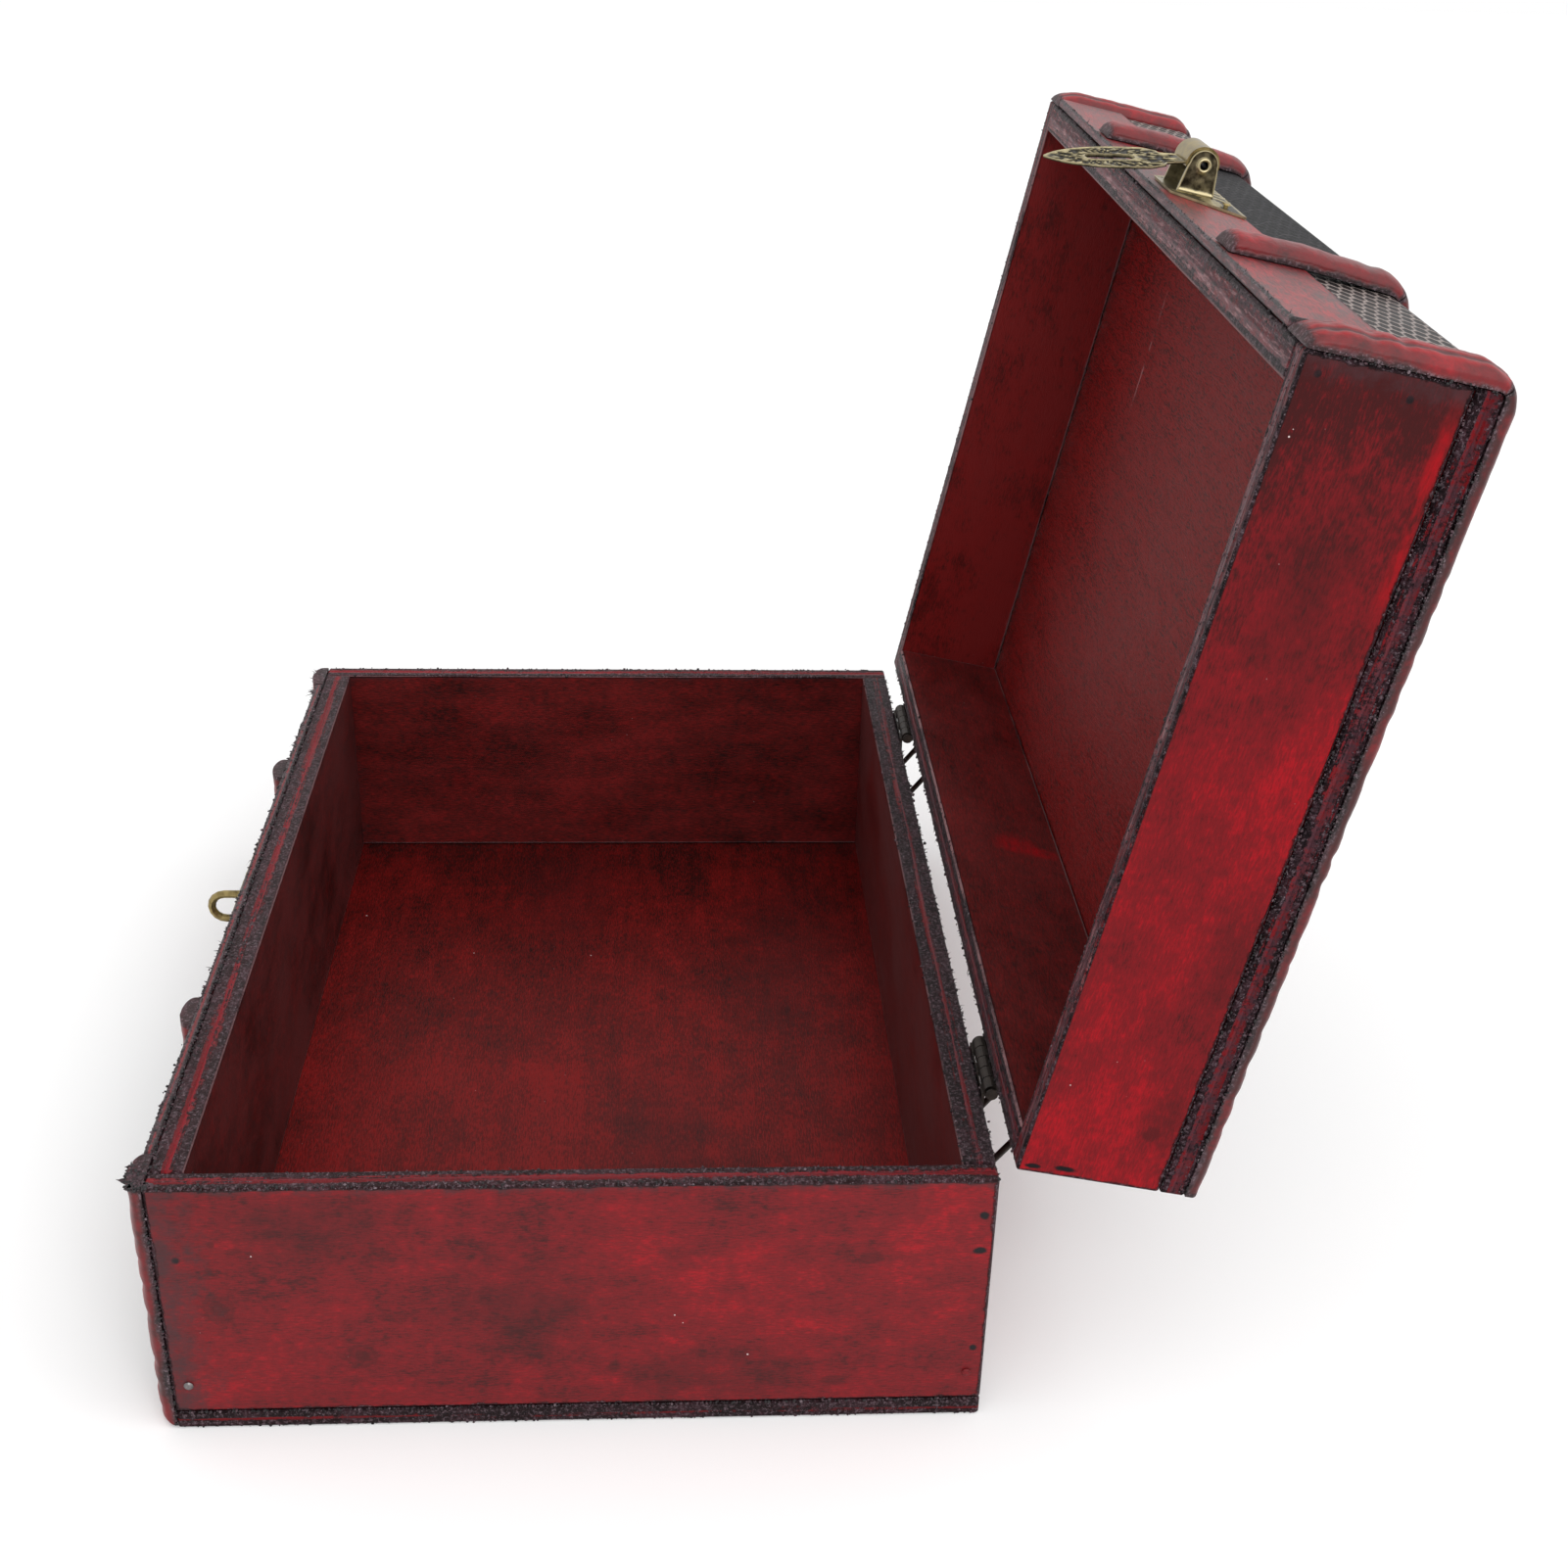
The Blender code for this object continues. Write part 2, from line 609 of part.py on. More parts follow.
def make_hinge_leaf(name, carrier, x_centre, first_knuckle, low, high):
    """A leaf plate with every second knuckle, cut clear of its partner and bored for the pin."""
    plate = mesh_object(name, box_bmesh((HINGE_WIDTH, LEAF_THICKNESS, high - low)), "bronze")
    attach(plate, carrier, (x_centre, BACK + JOINT_GAP + LEAF_THICKNESS / 2, (low + high) / 2))
    own_gap = TURNING_CLEARANCE / 2
    for i, (start, end) in enumerate(knuckle_slots()):
        x_start = x_centre + start
        x_end = x_centre + end
        if i % 2 == first_knuckle:
            tool = hinge_cutter(name + "_knuckle", carrier, x_start + own_gap, x_end - own_gap,
                                KNUCKLE_RADIUS, FINE_ROUND_STEPS)
            boolean(plate, tool, "UNION")
        else:
            tool = hinge_cutter(name + "_clearance", carrier, x_start - own_gap, x_end + own_gap,
                                KNUCKLE_RADIUS + TURNING_CLEARANCE, FINE_ROUND_STEPS)
            boolean(plate, tool, "DIFFERENCE")
    reach = HINGE_WIDTH / 2 + LEAF_THICKNESS
    bore = hinge_cutter(name + "_bore", carrier, x_centre - reach, x_centre + reach,
                        PIN_RADIUS + TURNING_CLEARANCE, ROUND_STEPS)
    boolean(plate, bore, "DIFFERENCE")
    return plate


def make_hinges(base, lid):
    """Two butt hinges with pins and nails on the back of the chest."""
    for side, sign in (("left", -1), ("right", 1)):
        x_centre = sign * HINGE_OFFSET
        base_leaf = make_hinge_leaf("hinge_base_leaf_" + side, "base", x_centre, 0,
                                    BASE_HEIGHT - LEAF_HEIGHT, BASE_HEIGHT)
        lid_leaf = make_hinge_leaf("hinge_lid_leaf_" + side, "lid", x_centre, 1,
                                   LID_RIM, LID_RIM + LEAF_HEIGHT)
        half = HINGE_WIDTH / 2
        head = half + JOINT_GAP + PIN_HEAD_LENGTH
        profile = [(0.0, head), (PIN_HEAD_RADIUS, head), (PIN_HEAD_RADIUS, half + JOINT_GAP),
                   (PIN_RADIUS, half + JOINT_GAP), (PIN_RADIUS, -half), (0.0, -half)]
        pin = turned("hinge_pin_" + side, profile, ROUND_STEPS, "bronze")
        attach(pin, "base", (x_centre, HINGE_AXIS.y, HINGE_AXIS.z), TOWARDS["right"])
        leaf_face = BACK + JOINT_GAP + LEAF_THICKNESS
        half_spacing = HINGE_WIDTH * LEAF_NAIL_SPACING_SHARE / 2
        distance = LEAF_HEIGHT * LEAF_NAIL_HEIGHT_SHARE
        for place, shift in (("a", -half_spacing), ("b", half_spacing)):
            nail("hinge_base_nail_" + side + "_" + place, "base",
                 (x_centre + shift, leaf_face, BASE_HEIGHT - distance), "back",
                 LEAF_NAIL_LENGTH, [base_leaf, base["back"]], "bronze")
            nail("hinge_lid_nail_" + side + "_" + place, "lid",
                 (x_centre + shift, leaf_face, LID_RIM + distance), "back",
                 LEAF_NAIL_LENGTH, [lid_leaf, lid["back"]], "bronze")


def make_lid_stops(base):
    """Bent wires, set into the back wall below each hinge, that hold the open lid."""
    reach = LEAF_HEIGHT + STOP_LEAF_CLEARANCE + STOP_WIRE_RADIUS
    bar_y, bar_z = opened(BACK + JOINT_GAP + STOP_WIRE_RADIUS, LID_RIM + reach)
    bend_y = BACK + STOP_WIRE_BEND
    foot_z = bar_z - (bar_y - bend_y) * math.tan(math.radians(STOP_WIRE_SLOPE))
    for side, sign in (("left", -1), ("right", 1)):
        x_low = sign * HINGE_OFFSET - STOP_WIRE_SPAN / 2
        x_high = sign * HINGE_OFFSET + STOP_WIRE_SPAN / 2
        path = [(x_low, BACK - STOP_WIRE_SEAT, foot_z), (x_low, bend_y, foot_z), (x_low, bar_y, bar_z),
                (x_high, bar_y, bar_z), (x_high, bend_y, foot_z), (x_high, BACK - STOP_WIRE_SEAT, foot_z)]
        wire("lid_stop_wire_" + side, path, STOP_WIRE_RADIUS, "base", "bronze")
        for x in (x_low, x_high):
            drill([base["back"]], "base", (x, BACK, foot_z), "back",
                  STOP_WIRE_RADIUS + NAIL_CLEARANCE, STOP_WIRE_SEAT + NAIL_CLEARANCE)


def make_hasp(lid, covering):
    """Hasp plate with its two ears, the hollow rivet between them, and two nails."""
    foot = LID_RIM + HASP_PLATE_RISE
    right = [(HASP_PLATE_HALF_FOOT, 0.0), (HASP_PLATE_HALF_TOP, PLATE_HEIGHT)]
    plate = mesh_object("hasp_plate", outline_bmesh([mirrored_outline(right)], PLATE_THICKNESS), "brass")
    attach(plate, "lid", (0.0, PLATE_FACE + PLATE_THICKNESS / 2, foot), TOWARDS["front"])
    for side, sign in (("left", -1), ("right", 1)):
        ear = [(-EAR_RADIUS, -PIVOT_STANDOFF - PLATE_THICKNESS / 2)]
        ear += [(EAR_RADIUS, -PIVOT_STANDOFF - PLATE_THICKNESS / 2)]
        ear += arc((0, 0), EAR_RADIUS, 0, 180, FINE_ROUND_STEPS // 2)
        last = 360 - 360 / ROUND_STEPS
        hole = arc((0, 0), RIVET_RADIUS + TURNING_CLEARANCE, 0, last, ROUND_STEPS - 1)
        tool = mesh_object("hasp_ear_" + side, outline_bmesh([ear, hole], EAR_THICKNESS))
        x = sign * (EAR_INSIDE_WIDTH / 2 + EAR_THICKNESS / 2)
        attach(tool, "lid", (x, HASP_PIVOT.y, HASP_PIVOT.z), (math.radians(180), math.radians(-90), 0.0))
        boolean(plate, tool, "UNION")
    half = EAR_INSIDE_WIDTH / 2 + EAR_THICKNESS + JOINT_GAP
    end = half + RIVET_FLANGE_THICKNESS
    profile = [(RIVET_BORE_RADIUS, end), (RIVET_FLANGE_RADIUS, end), (RIVET_FLANGE_RADIUS, half),
               (RIVET_RADIUS, half), (RIVET_RADIUS, -half), (RIVET_FLANGE_RADIUS, -half),
               (RIVET_FLANGE_RADIUS, -end), (RIVET_BORE_RADIUS, -end), (RIVET_BORE_RADIUS, end)]
    rivet = turned("hasp_rivet", profile, FINE_ROUND_STEPS, "brass")
    attach(rivet, "lid", HASP_PIVOT, TOWARDS["right"])
    for side, sign in (("left", -1), ("right", 1)):
        nail("hasp_nail_" + side, "lid",
             (sign * HASP_NAIL_OFFSET, PLATE_FACE, foot + HASP_NAIL_RISE), "front",
             PLATE_NAIL_LENGTH, [plate, covering["lid_band"], lid["front"]], "brass")


def make_tongue():
    """Slotted leaf that hangs from a hood round the rivet, drawn straight down from the pivot."""
    slot_middle = (HASP_PIVOT.z - LOOP_LEVEL) / math.cos(tongue_rest_angle())
    right = [(TONGUE_NECK_HALF_WIDTH, 0.0), (TONGUE_NECK_HALF_WIDTH, -HOOD_RADIUS)]
    widest = (TONGUE_HALF_WIDTH, -TONGUE_WIDEST_DROP)
    right += quadratic(right[-1], (TONGUE_HALF_WIDTH, -TONGUE_SHOULDER_DROP), widest, CURVE_STEPS)
    right += quadratic(widest, (TONGUE_HALF_WIDTH, -TONGUE_TAPER_DROP), (0.0, -TONGUE_LENGTH), CURVE_STEPS)
    outline = mirrored_outline(right)
    bow = LOOP_WIRE_RADIUS + SLOT_SIDE_CLEARANCE
    run = LOOP_HALF_HEIGHT + SLOT_END_CLEARANCE - bow
    slot = arc((0, run - slot_middle), bow, 0, 180, CURVE_STEPS)
    slot += arc((0, -run - slot_middle), bow, 180, 360, CURVE_STEPS)
    leaf = mesh_object("hasp_tongue", outline_bmesh([outline, slot], TONGUE_THICKNESS), "brass")
    attach(leaf, "tongue", HASP_PIVOT, TOWARDS["front"])
    width = EAR_INSIDE_WIDTH - 2 * TURNING_CLEARANCE
    hood = cylinder("hasp_tongue_hood", HOOD_RADIUS, width, FINE_ROUND_STEPS)
    attach(hood, "tongue", HASP_PIVOT, TOWARDS["right"])
    boolean(leaf, hood, "UNION")
    bore = cylinder("hasp_tongue_bore", RIVET_RADIUS + TURNING_CLEARANCE, 2 * EAR_INSIDE_WIDTH, ROUND_STEPS)
    attach(bore, "tongue", HASP_PIVOT, TOWARDS["right"])
    boolean(leaf, bore, "DIFFERENCE")


def make_staple(base, covering):
    """Staple plate on the base's band, its wire loop for a padlock, and two nails."""
    foot = STAPLE_PLATE_FOOT
    right = [(STAPLE_PLATE_HALF_FOOT, 0.0), (STAPLE_PLATE_HALF_TOP, PLATE_HEIGHT)]
    plate = mesh_object("staple_plate", outline_bmesh([mirrored_outline(right)], PLATE_THICKNESS), "brass")
    attach(plate, "base", (0.0, PLATE_FACE + PLATE_THICKNESS / 2, foot), TOWARDS["front"])
    bow = LOOP_HALF_HEIGHT - LOOP_WIRE_RADIUS
    tip = PLATE_FACE - LOOP_REACH + LOOP_WIRE_RADIUS
    seat = FRONT + LOOP_SEAT
    bend = arc((tip + bow, LOOP_LEVEL), bow, 90, 270, HALF_ROUND_STEPS)
    path = [(0.0, seat, LOOP_LEVEL + bow)] + [(0.0, y, z) for y, z in bend] + [(0.0, seat, LOOP_LEVEL - bow)]
    wire("staple_loop", path, LOOP_WIRE_RADIUS, "base", "brass")
    behind = [plate, covering["base_band"], base["front"]]
    for level in (LOOP_LEVEL + bow, LOOP_LEVEL - bow):
        drill(behind, "base", (0.0, PLATE_FACE, level), "front", LOOP_WIRE_RADIUS + NAIL_CLEARANCE,
              seat - PLATE_FACE + NAIL_CLEARANCE)
    for side, sign in (("left", -1), ("right", 1)):
        nail("staple_nail_" + side, "base",
             (sign * STAPLE_NAIL_OFFSET, PLATE_FACE, STAPLE_PLATE_TOP - STAPLE_NAIL_DROP), "front",
             PLATE_NAIL_LENGTH, behind, "brass")


def make_end_nails(base):
    """Nails through the base's ends into the end grain of the front and back walls."""
    for side, sign in (("left", -1), ("right", 1)):
        for wall, depth in (("front", FRONT + WALL_THICKNESS / 2), ("back", BACK - WALL_THICKNESS / 2)):
            nail("base_end_nail_" + side + "_" + wall, "base",
                 (sign * CHEST_LENGTH / 2, depth, END_NAIL_RISE), side, END_NAIL_LENGTH,
                 [base[side], base[wall]], "steel")


BASE = make_base_case()
LID = make_lid_case()
COVERING = make_front_covering()
make_rails()
make_hinges(BASE, LID)
make_lid_stops(BASE)
make_hasp(LID, COVERING)
make_tongue()
make_staple(BASE, COVERING)
make_end_nails(BASE)
bpy.context.view_layer.update()
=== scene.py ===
# %% [markdown]
# # A worn red jewelry chest
#
# The chest stands open on a white ground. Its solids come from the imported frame, in metres, with
# the front towards -Y and the hinged back towards +Y. This lesson gives them their looks: stained
# plywood with blackened edges, hand-carved rails, embossed leather and antique brass.

# %% Load the frame
import json
import math
from functools import partialmethod, reduce

import bpy
import numpy as np
from mathutils import Matrix, Vector

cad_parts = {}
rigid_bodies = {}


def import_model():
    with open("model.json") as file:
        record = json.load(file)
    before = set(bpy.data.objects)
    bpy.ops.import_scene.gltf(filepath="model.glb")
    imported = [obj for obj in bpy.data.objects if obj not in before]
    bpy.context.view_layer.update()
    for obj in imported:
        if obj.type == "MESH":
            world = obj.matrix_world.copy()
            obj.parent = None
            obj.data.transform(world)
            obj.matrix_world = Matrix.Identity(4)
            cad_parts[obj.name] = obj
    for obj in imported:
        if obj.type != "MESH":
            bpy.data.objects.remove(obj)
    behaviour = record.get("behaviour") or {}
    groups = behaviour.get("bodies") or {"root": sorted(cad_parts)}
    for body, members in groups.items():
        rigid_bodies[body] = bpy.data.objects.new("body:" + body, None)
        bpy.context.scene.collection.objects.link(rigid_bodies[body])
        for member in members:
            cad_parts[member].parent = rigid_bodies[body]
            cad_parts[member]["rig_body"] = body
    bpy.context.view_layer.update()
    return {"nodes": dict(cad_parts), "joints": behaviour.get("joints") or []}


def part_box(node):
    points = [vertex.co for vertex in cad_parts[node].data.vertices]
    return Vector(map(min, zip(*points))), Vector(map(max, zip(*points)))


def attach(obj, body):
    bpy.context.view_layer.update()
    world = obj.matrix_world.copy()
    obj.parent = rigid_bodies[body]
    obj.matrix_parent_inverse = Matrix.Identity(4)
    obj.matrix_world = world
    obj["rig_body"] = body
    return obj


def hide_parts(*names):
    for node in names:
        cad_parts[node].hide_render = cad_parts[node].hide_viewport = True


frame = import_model()
nodes = frame["nodes"]
MM = 0.001
print("solids in the frame:", len(nodes))

# %% [markdown]
# The lid is easiest to think about shut, because then its boards line up with the axes. The joint
# in the record says where it turns and how far, so one rotation takes a shut place to the open one.

# %% Shut and open places of the lid
hinge = next(joint for joint in frame["joints"] if joint["name"] == "lid_hinge")
HINGE = np.array(hinge["pos_m"])
OPEN = math.radians(-hinge["range_deg"][0])


def joined(*parts):
    """Coordinates of matching shapes as one array of places (..., n)."""
    return np.stack(np.broadcast_arrays(*parts), axis=-1)


def turned(points, angle):
    """Turn places (..., 3) about the hinge line; a positive angle lifts the lid's front edge."""
    x, y, z = np.moveaxis(points - HINGE, -1, 0)
    cosine, sine = math.cos(angle), math.sin(angle)
    return joined(x, y * cosine + z * sine, z * cosine - y * sine) + HINGE


def board_box(node):
    """Lowest and highest corner of a board, on the base or on the shut lid."""
    if nodes[node]["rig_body"] == "base":
        return tuple(np.array(corner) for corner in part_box(node))
    mesh = nodes[node].data
    places = np.empty(len(mesh.vertices) * 3)
    mesh.vertices.foreach_get("co", places)
    shut = turned(places.reshape(-1, 3), -OPEN)
    return shut.min(0), shut.max(0)


print("the lid opens by", round(math.degrees(OPEN), 1), "degrees")

# %% [markdown]
# The photograph was taken from above the right-hand end. The camera's place, its three turns and its
# lens were fitted to the corners of the base and the lid, so the model falls on the picture.

# %% Camera
CAMERA_PLACE = Vector((0.53492, 0.02213, 0.37408))
YAW, PITCH, ROLL = (math.radians(angle) for angle in (4.003, -28.498, 1.818))
FOCAL_PIXELS = 2091.4
PICTURE_PIXELS = 1601
CENTRE_SHIFT = (12.5, 62.0)

forward = Vector((-math.cos(YAW), math.sin(YAW), 0.0))
right = Vector((math.sin(YAW), math.cos(YAW), 0.0))
up = Vector((0.0, 0.0, 1.0))
sight = forward * math.cos(PITCH) + up * math.sin(PITCH)
upright = up * math.cos(PITCH) - forward * math.sin(PITCH)
across = right * math.cos(ROLL) + upright * math.sin(ROLL)
upward = upright * math.cos(ROLL) - right * math.sin(ROLL)
lens = bpy.data.cameras.new("photo_camera")
lens.sensor_width = 36.0
lens.lens = lens.sensor_width * FOCAL_PIXELS / PICTURE_PIXELS
lens.shift_x = -CENTRE_SHIFT[0] / PICTURE_PIXELS
lens.shift_y = CENTRE_SHIFT[1] / PICTURE_PIXELS
lens.clip_start = 0.01
camera = bpy.data.objects.new("photo_camera", lens)
camera.matrix_world = Matrix((across, upward, -sight)).transposed().to_4x4()
camera.location = CAMERA_PLACE
bpy.context.scene.collection.objects.link(camera)
bpy.context.scene.camera = camera
bpy.context.scene.view_settings.view_transform = "Standard"
print("lens in millimetres:", round(lens.lens, 2))

# %% [markdown]
# Shader maths reads best as plain sums. `Term` wraps a socket so that `1 - mask * 0.5` adds the
# Math nodes by itself. A `Finish` is one material; its `node` makes every other node from its kind,
# its settings and then the values or links of its sockets.


# %% A small language for materials
class Term:
    """A socket that can be used in sums."""

    def __init__(self, finish, socket):
        self.finish = finish
        self.socket = socket

    def apply(self, operation, *others):
        return self.finish.node("ShaderNodeMath", {"operation": operation}, dict(enumerate((self, *others))))

    def __rsub__(self, other):
        return self.finish.node("ShaderNodeMath", {"operation": "SUBTRACT"}, {0: other, 1: self})

    __add__ = __radd__ = partialmethod(apply, "ADD")
    __sub__ = partialmethod(apply, "SUBTRACT")
    __mul__ = __rmul__ = partialmethod(apply, "MULTIPLY")
    __truediv__ = partialmethod(apply, "DIVIDE")
    __abs__ = partialmethod(apply, "ABSOLUTE")
    least = partialmethod(apply, "MINIMUM")
    most = partialmethod(apply, "MAXIMUM")
    sine = partialmethod(apply, "SINE")

    def wrap(self, high):
        return self.apply("WRAP", high, 0.0)

    def ramp(self, low, high):
        """0 below low, 1 above high, smooth between; a high under the low falls instead."""
        inputs = {0: self, 1: low, 2: high}
        if low > high:
            inputs = {0: self, 1: high, 2: low, 3: 1.0, 4: 0.0}
        return self.finish.node("ShaderNodeMapRange", {"interpolation_type": "SMOOTHSTEP", "clamp": True}, inputs)


class Finish:
    """A material, or the sky: one shader and the nodes that feed it."""

    def __init__(self, name, sky=False):
        self.material = (bpy.data.worlds if sky else bpy.data.materials).new(name)
        self.material.use_nodes = True
        self.tree = self.material.node_tree
        self.shader = self.tree.nodes["Background" if sky else "Principled BSDF"]

    def join(self, socket, value):
        """Link a term to a socket, or set a plain value on it."""
        if isinstance(value, Term):
            self.tree.links.new(value.socket, socket)
        else:
            socket.default_value = value

    def node(self, kind, settings=None, inputs=None, out=0):
        made = self.tree.nodes.new(kind)
        for key, value in (settings or {}).items():
            setattr(made, key, value)
        for key, value in (inputs or {}).items():
            self.join(made.inputs[key], value)
        return Term(self, made.outputs[out])

    def feed(self, **inputs):
        """Feed the shader's sockets; an underscore in a key stands for a space."""
        for key, value in inputs.items():
            self.join(self.shader.inputs[key.replace("_", " ")], value)

    def place(self, on_lid):
        """Object coordinates; on the lid they are turned back to the shut lid's."""
        here = self.node("ShaderNodeTexCoord", out="Object")
        if not on_lid:
            return here
        shift = Vector(HINGE) - Matrix.Rotation(OPEN, 3, "X") @ Vector(HINGE)
        return self.node("ShaderNodeMapping", {"vector_type": "POINT"},
                         {"Vector": here, "Location": shift, "Rotation": (OPEN, 0.0, 0.0)})

    def split(self, vector):
        first = self.node("ShaderNodeSeparateXYZ", None, {0: vector})
        return [Term(self, socket) for socket in first.socket.node.outputs]

    def mark(self, name):
        """A number that the mesh carries at each of its points."""
        return self.node("ShaderNodeAttribute", {"attribute_name": name}, out="Fac")

    def stretch(self, vector, scale):
        return self.node("ShaderNodeMapping", {"vector_type": "POINT"}, {"Vector": vector, "Scale": scale})

    def noise(self, vector, scale, detail=3.0, roughness=0.55):
        """Cloudy noise of so many lumps per metre, or with a scale of its own for each axis."""
        if not isinstance(scale, float):
            vector, scale = self.stretch(vector, scale), 1.0
        return self.node("ShaderNodeTexNoise", {"noise_dimensions": "3D"},
                         {"Vector": vector, "Scale": scale, "Detail": detail, "Roughness": roughness})

    def cells(self, vector, scale):
        """Distance to the nearest of many scattered points."""
        return self.node("ShaderNodeTexVoronoi", {"feature": "F1"}, {"Vector": vector, "Scale": scale},
                         out="Distance")

    def paint(self, under, *coats):
        """Lay coats (share, colour) over a colour, one after the other."""
        for share, tint in coats:
            under = self.node("ShaderNodeMix", {"data_type": "RGBA"}, {0: share, 6: under, 7: tint}, out=2)
        return under

    def bump(self, height, distance, strength):
        return self.node("ShaderNodeBump", None, {"Height": height, "Distance": distance, "Strength": strength})


def colour(red, green, blue):
    """A screen colour, 0 to 255, as the linear values that nodes use."""
    screen = np.array([red, green, blue]) / 255.0
    linear = np.where(screen <= 0.04045, screen / 12.92, ((screen + 0.055) / 1.055) ** 2.4)
    return (*linear.tolist(), 1.0)


def dress(node, finish):
    """Give a solid of the frame a finish."""
    nodes[node].data.materials.clear()
    nodes[node].data.materials.append(finish.material)


print("mid grey in linear light:", round(colour(128, 128, 128)[0], 3))

# %% [markdown]
# The boards are thin plywood stained crimson, browner inside. On the sawn edges the stain has dried
# to a rough black crust with plum patches, pits and grey glints.

# %% Stain and crust
BRIGHT_STAIN = colour(150, 13, 24)
MIDDLE_STAIN = colour(106, 16, 22)
DARK_STAIN = colour(58, 16, 17)
RUBBED_STAIN = colour(152, 8, 19)
INSIDE_BRIGHT = colour(124, 19, 19)
INSIDE_STAIN = colour(88, 14, 13)
INSIDE_DARK = colour(40, 10, 9)
# Grey over the inner faces: partly dust, partly a painted sheen.
DUST_AND_PAINTED_SHEEN = colour(80, 50, 50)
CRUST_BLACK = colour(20, 14, 17)
CRUST_PIT = colour(4, 3, 4)
CRUST_GREY = colour(162, 148, 155)
CRUST_PLUM = colour(66, 43, 50)
CRUST_DUST = colour(106, 90, 97)
SMUDGE = colour(62, 38, 41)
PLY_RED = colour(146, 22, 36)
PLY_PLUM = colour(108, 56, 65)
PLY_GREY = colour(106, 76, 82)
PLY_BROWN = colour(94, 42, 48)
PALE_SPECK = colour(200, 180, 178)
# Pale for scratches and scrapes, and as a painted highlight on lit inner edges.
PALE_SCRAPE_AND_HIGHLIGHT = colour(160, 118, 120)


def black_crust(finish, place):
    """Rough black stain: plum patches, then pits and dust from one grit pattern, then small glints."""
    patches = finish.noise(place, 170.0, 4.0, 0.65)
    grit = finish.noise(place, 880.0, 5.0, 0.8)
    glints = finish.noise(place, 2100.0, 2.0, 0.6)
    return finish.paint(CRUST_BLACK, (patches.ramp(0.44, 0.66) * 0.85, CRUST_PLUM),
                        (grit.ramp(0.47, 0.40), CRUST_PIT), (grit.ramp(0.52, 0.62), CRUST_DUST),
                        (glints.ramp(0.64, 0.72) * 0.65, CRUST_GREY))


print("stain and crust are mixed")

# %% [markdown]
# Wood grain is noise drawn out along one axis. Its sizes run from broad clouds to single fibres.
# Flaws sit at chosen places: knots with rings, spots rubbed bright, a scratch, nail holes, drips.

# %% Grain, wear and flaws
AXIS = {"x": 0, "y": 1, "z": 2}
SPOTS = {"pale": (PALE_SPECK, 1.0, 0.5), "hole": (CRUST_BLACK, 1.0, 0.5),
         "stain": (DARK_STAIN, 0.5, 0.5), "cloud": (DARK_STAIN, 0.45, 0.0)}


def axis_scale(axis, along, across):
    """Noise lumps per metre: one number along an axis and another across it."""
    scale = [across, across, across]
    scale[AXIS[axis]] = along
    return scale


def board_noises(finish, place, grain):
    """Streaks, threads, fine fibres and clouds along the grain; even blots, and a rag that frays edges."""
    grained = [(50.0, 180.0, 7.0, 0.66), (22.0, 640.0, 4.0, 0.6), (420.0, 2300.0, 3.0, 0.6),
               (22.0, 36.0, 6.0, 0.66)]
    noises = [finish.noise(place, axis_scale(grain, along, across), *look) for along, across, *look in grained]
    return *noises, finish.noise(place, 130.0, 6.0, 0.72), finish.noise(place, 430.0, 6.0, 0.8)


def edge_wear(blots, rag, side, width):
    """Soft smudge and tight crust beside an edge, from the distance to it and the width of the wear."""
    uneven = blots - 0.5
    smudge = (side + uneven * (3.0 * width)).ramp(width, -0.2 * width)
    reach = min(2.0 * width, MM)
    crust = side + (rag - 0.5) * (1.8 * reach) + uneven * (2.6 * reach)
    return smudge, crust.ramp(0.9 * reach, 0.3 * reach)


def marks_on(axis, level, *marks):
    """Flaws on the face where an axis has a level in mm: kind, two places along the face, size, reach.

    reach shortens the two directions along the face, so that round marks become long ones.
    """
    for kind, first, second, size, *reach in marks:
        spot = np.insert(np.array([first, second], float), AXIS[axis], level)
        yield kind, spot * MM, size * MM, np.insert(np.array([*reach, 1.0, 1.0][:2]), AXIS[axis], 1.0)


def flaw_coats(finish, place, blots, streaks, kind, spot, size, reach):
    """Coats of paint for one flaw, from the distance to its spot, blurred by the blots."""
    away = finish.node("ShaderNodeVectorMath", {"operation": "DISTANCE"},
                       {0: finish.stretch(place, reach), 1: Vector(spot * reach)}, out="Value")
    away = away + (blots - 0.5) * (size * 1.3)
    if kind == "knot":
        rings = ((away * (16.0 / size)).sine() * 0.5 + 0.5) * away.ramp(size, 0.3 * size)
        return [(rings * 0.5, DARK_STAIN), (away.ramp(0.6 * size, 0.1 * size) * 0.45, DARK_STAIN)]
    if kind == "rubbed_and_highlight":
        return [(away.ramp(size, 0.2 * size) * streaks.ramp(0.30, 0.56) * 0.85, RUBBED_STAIN)]
    if kind == "scratch":
        return [(away.ramp(size, 0.5 * size) * streaks.ramp(0.44, 0.56) * 0.6, PALE_SCRAPE_AND_HIGHLIGHT)]
    tint, strength, core = SPOTS[kind]
    return [(away.ramp(size, core * size) * strength, tint)]


print("kinds of plain spots:", ", ".join(SPOTS))
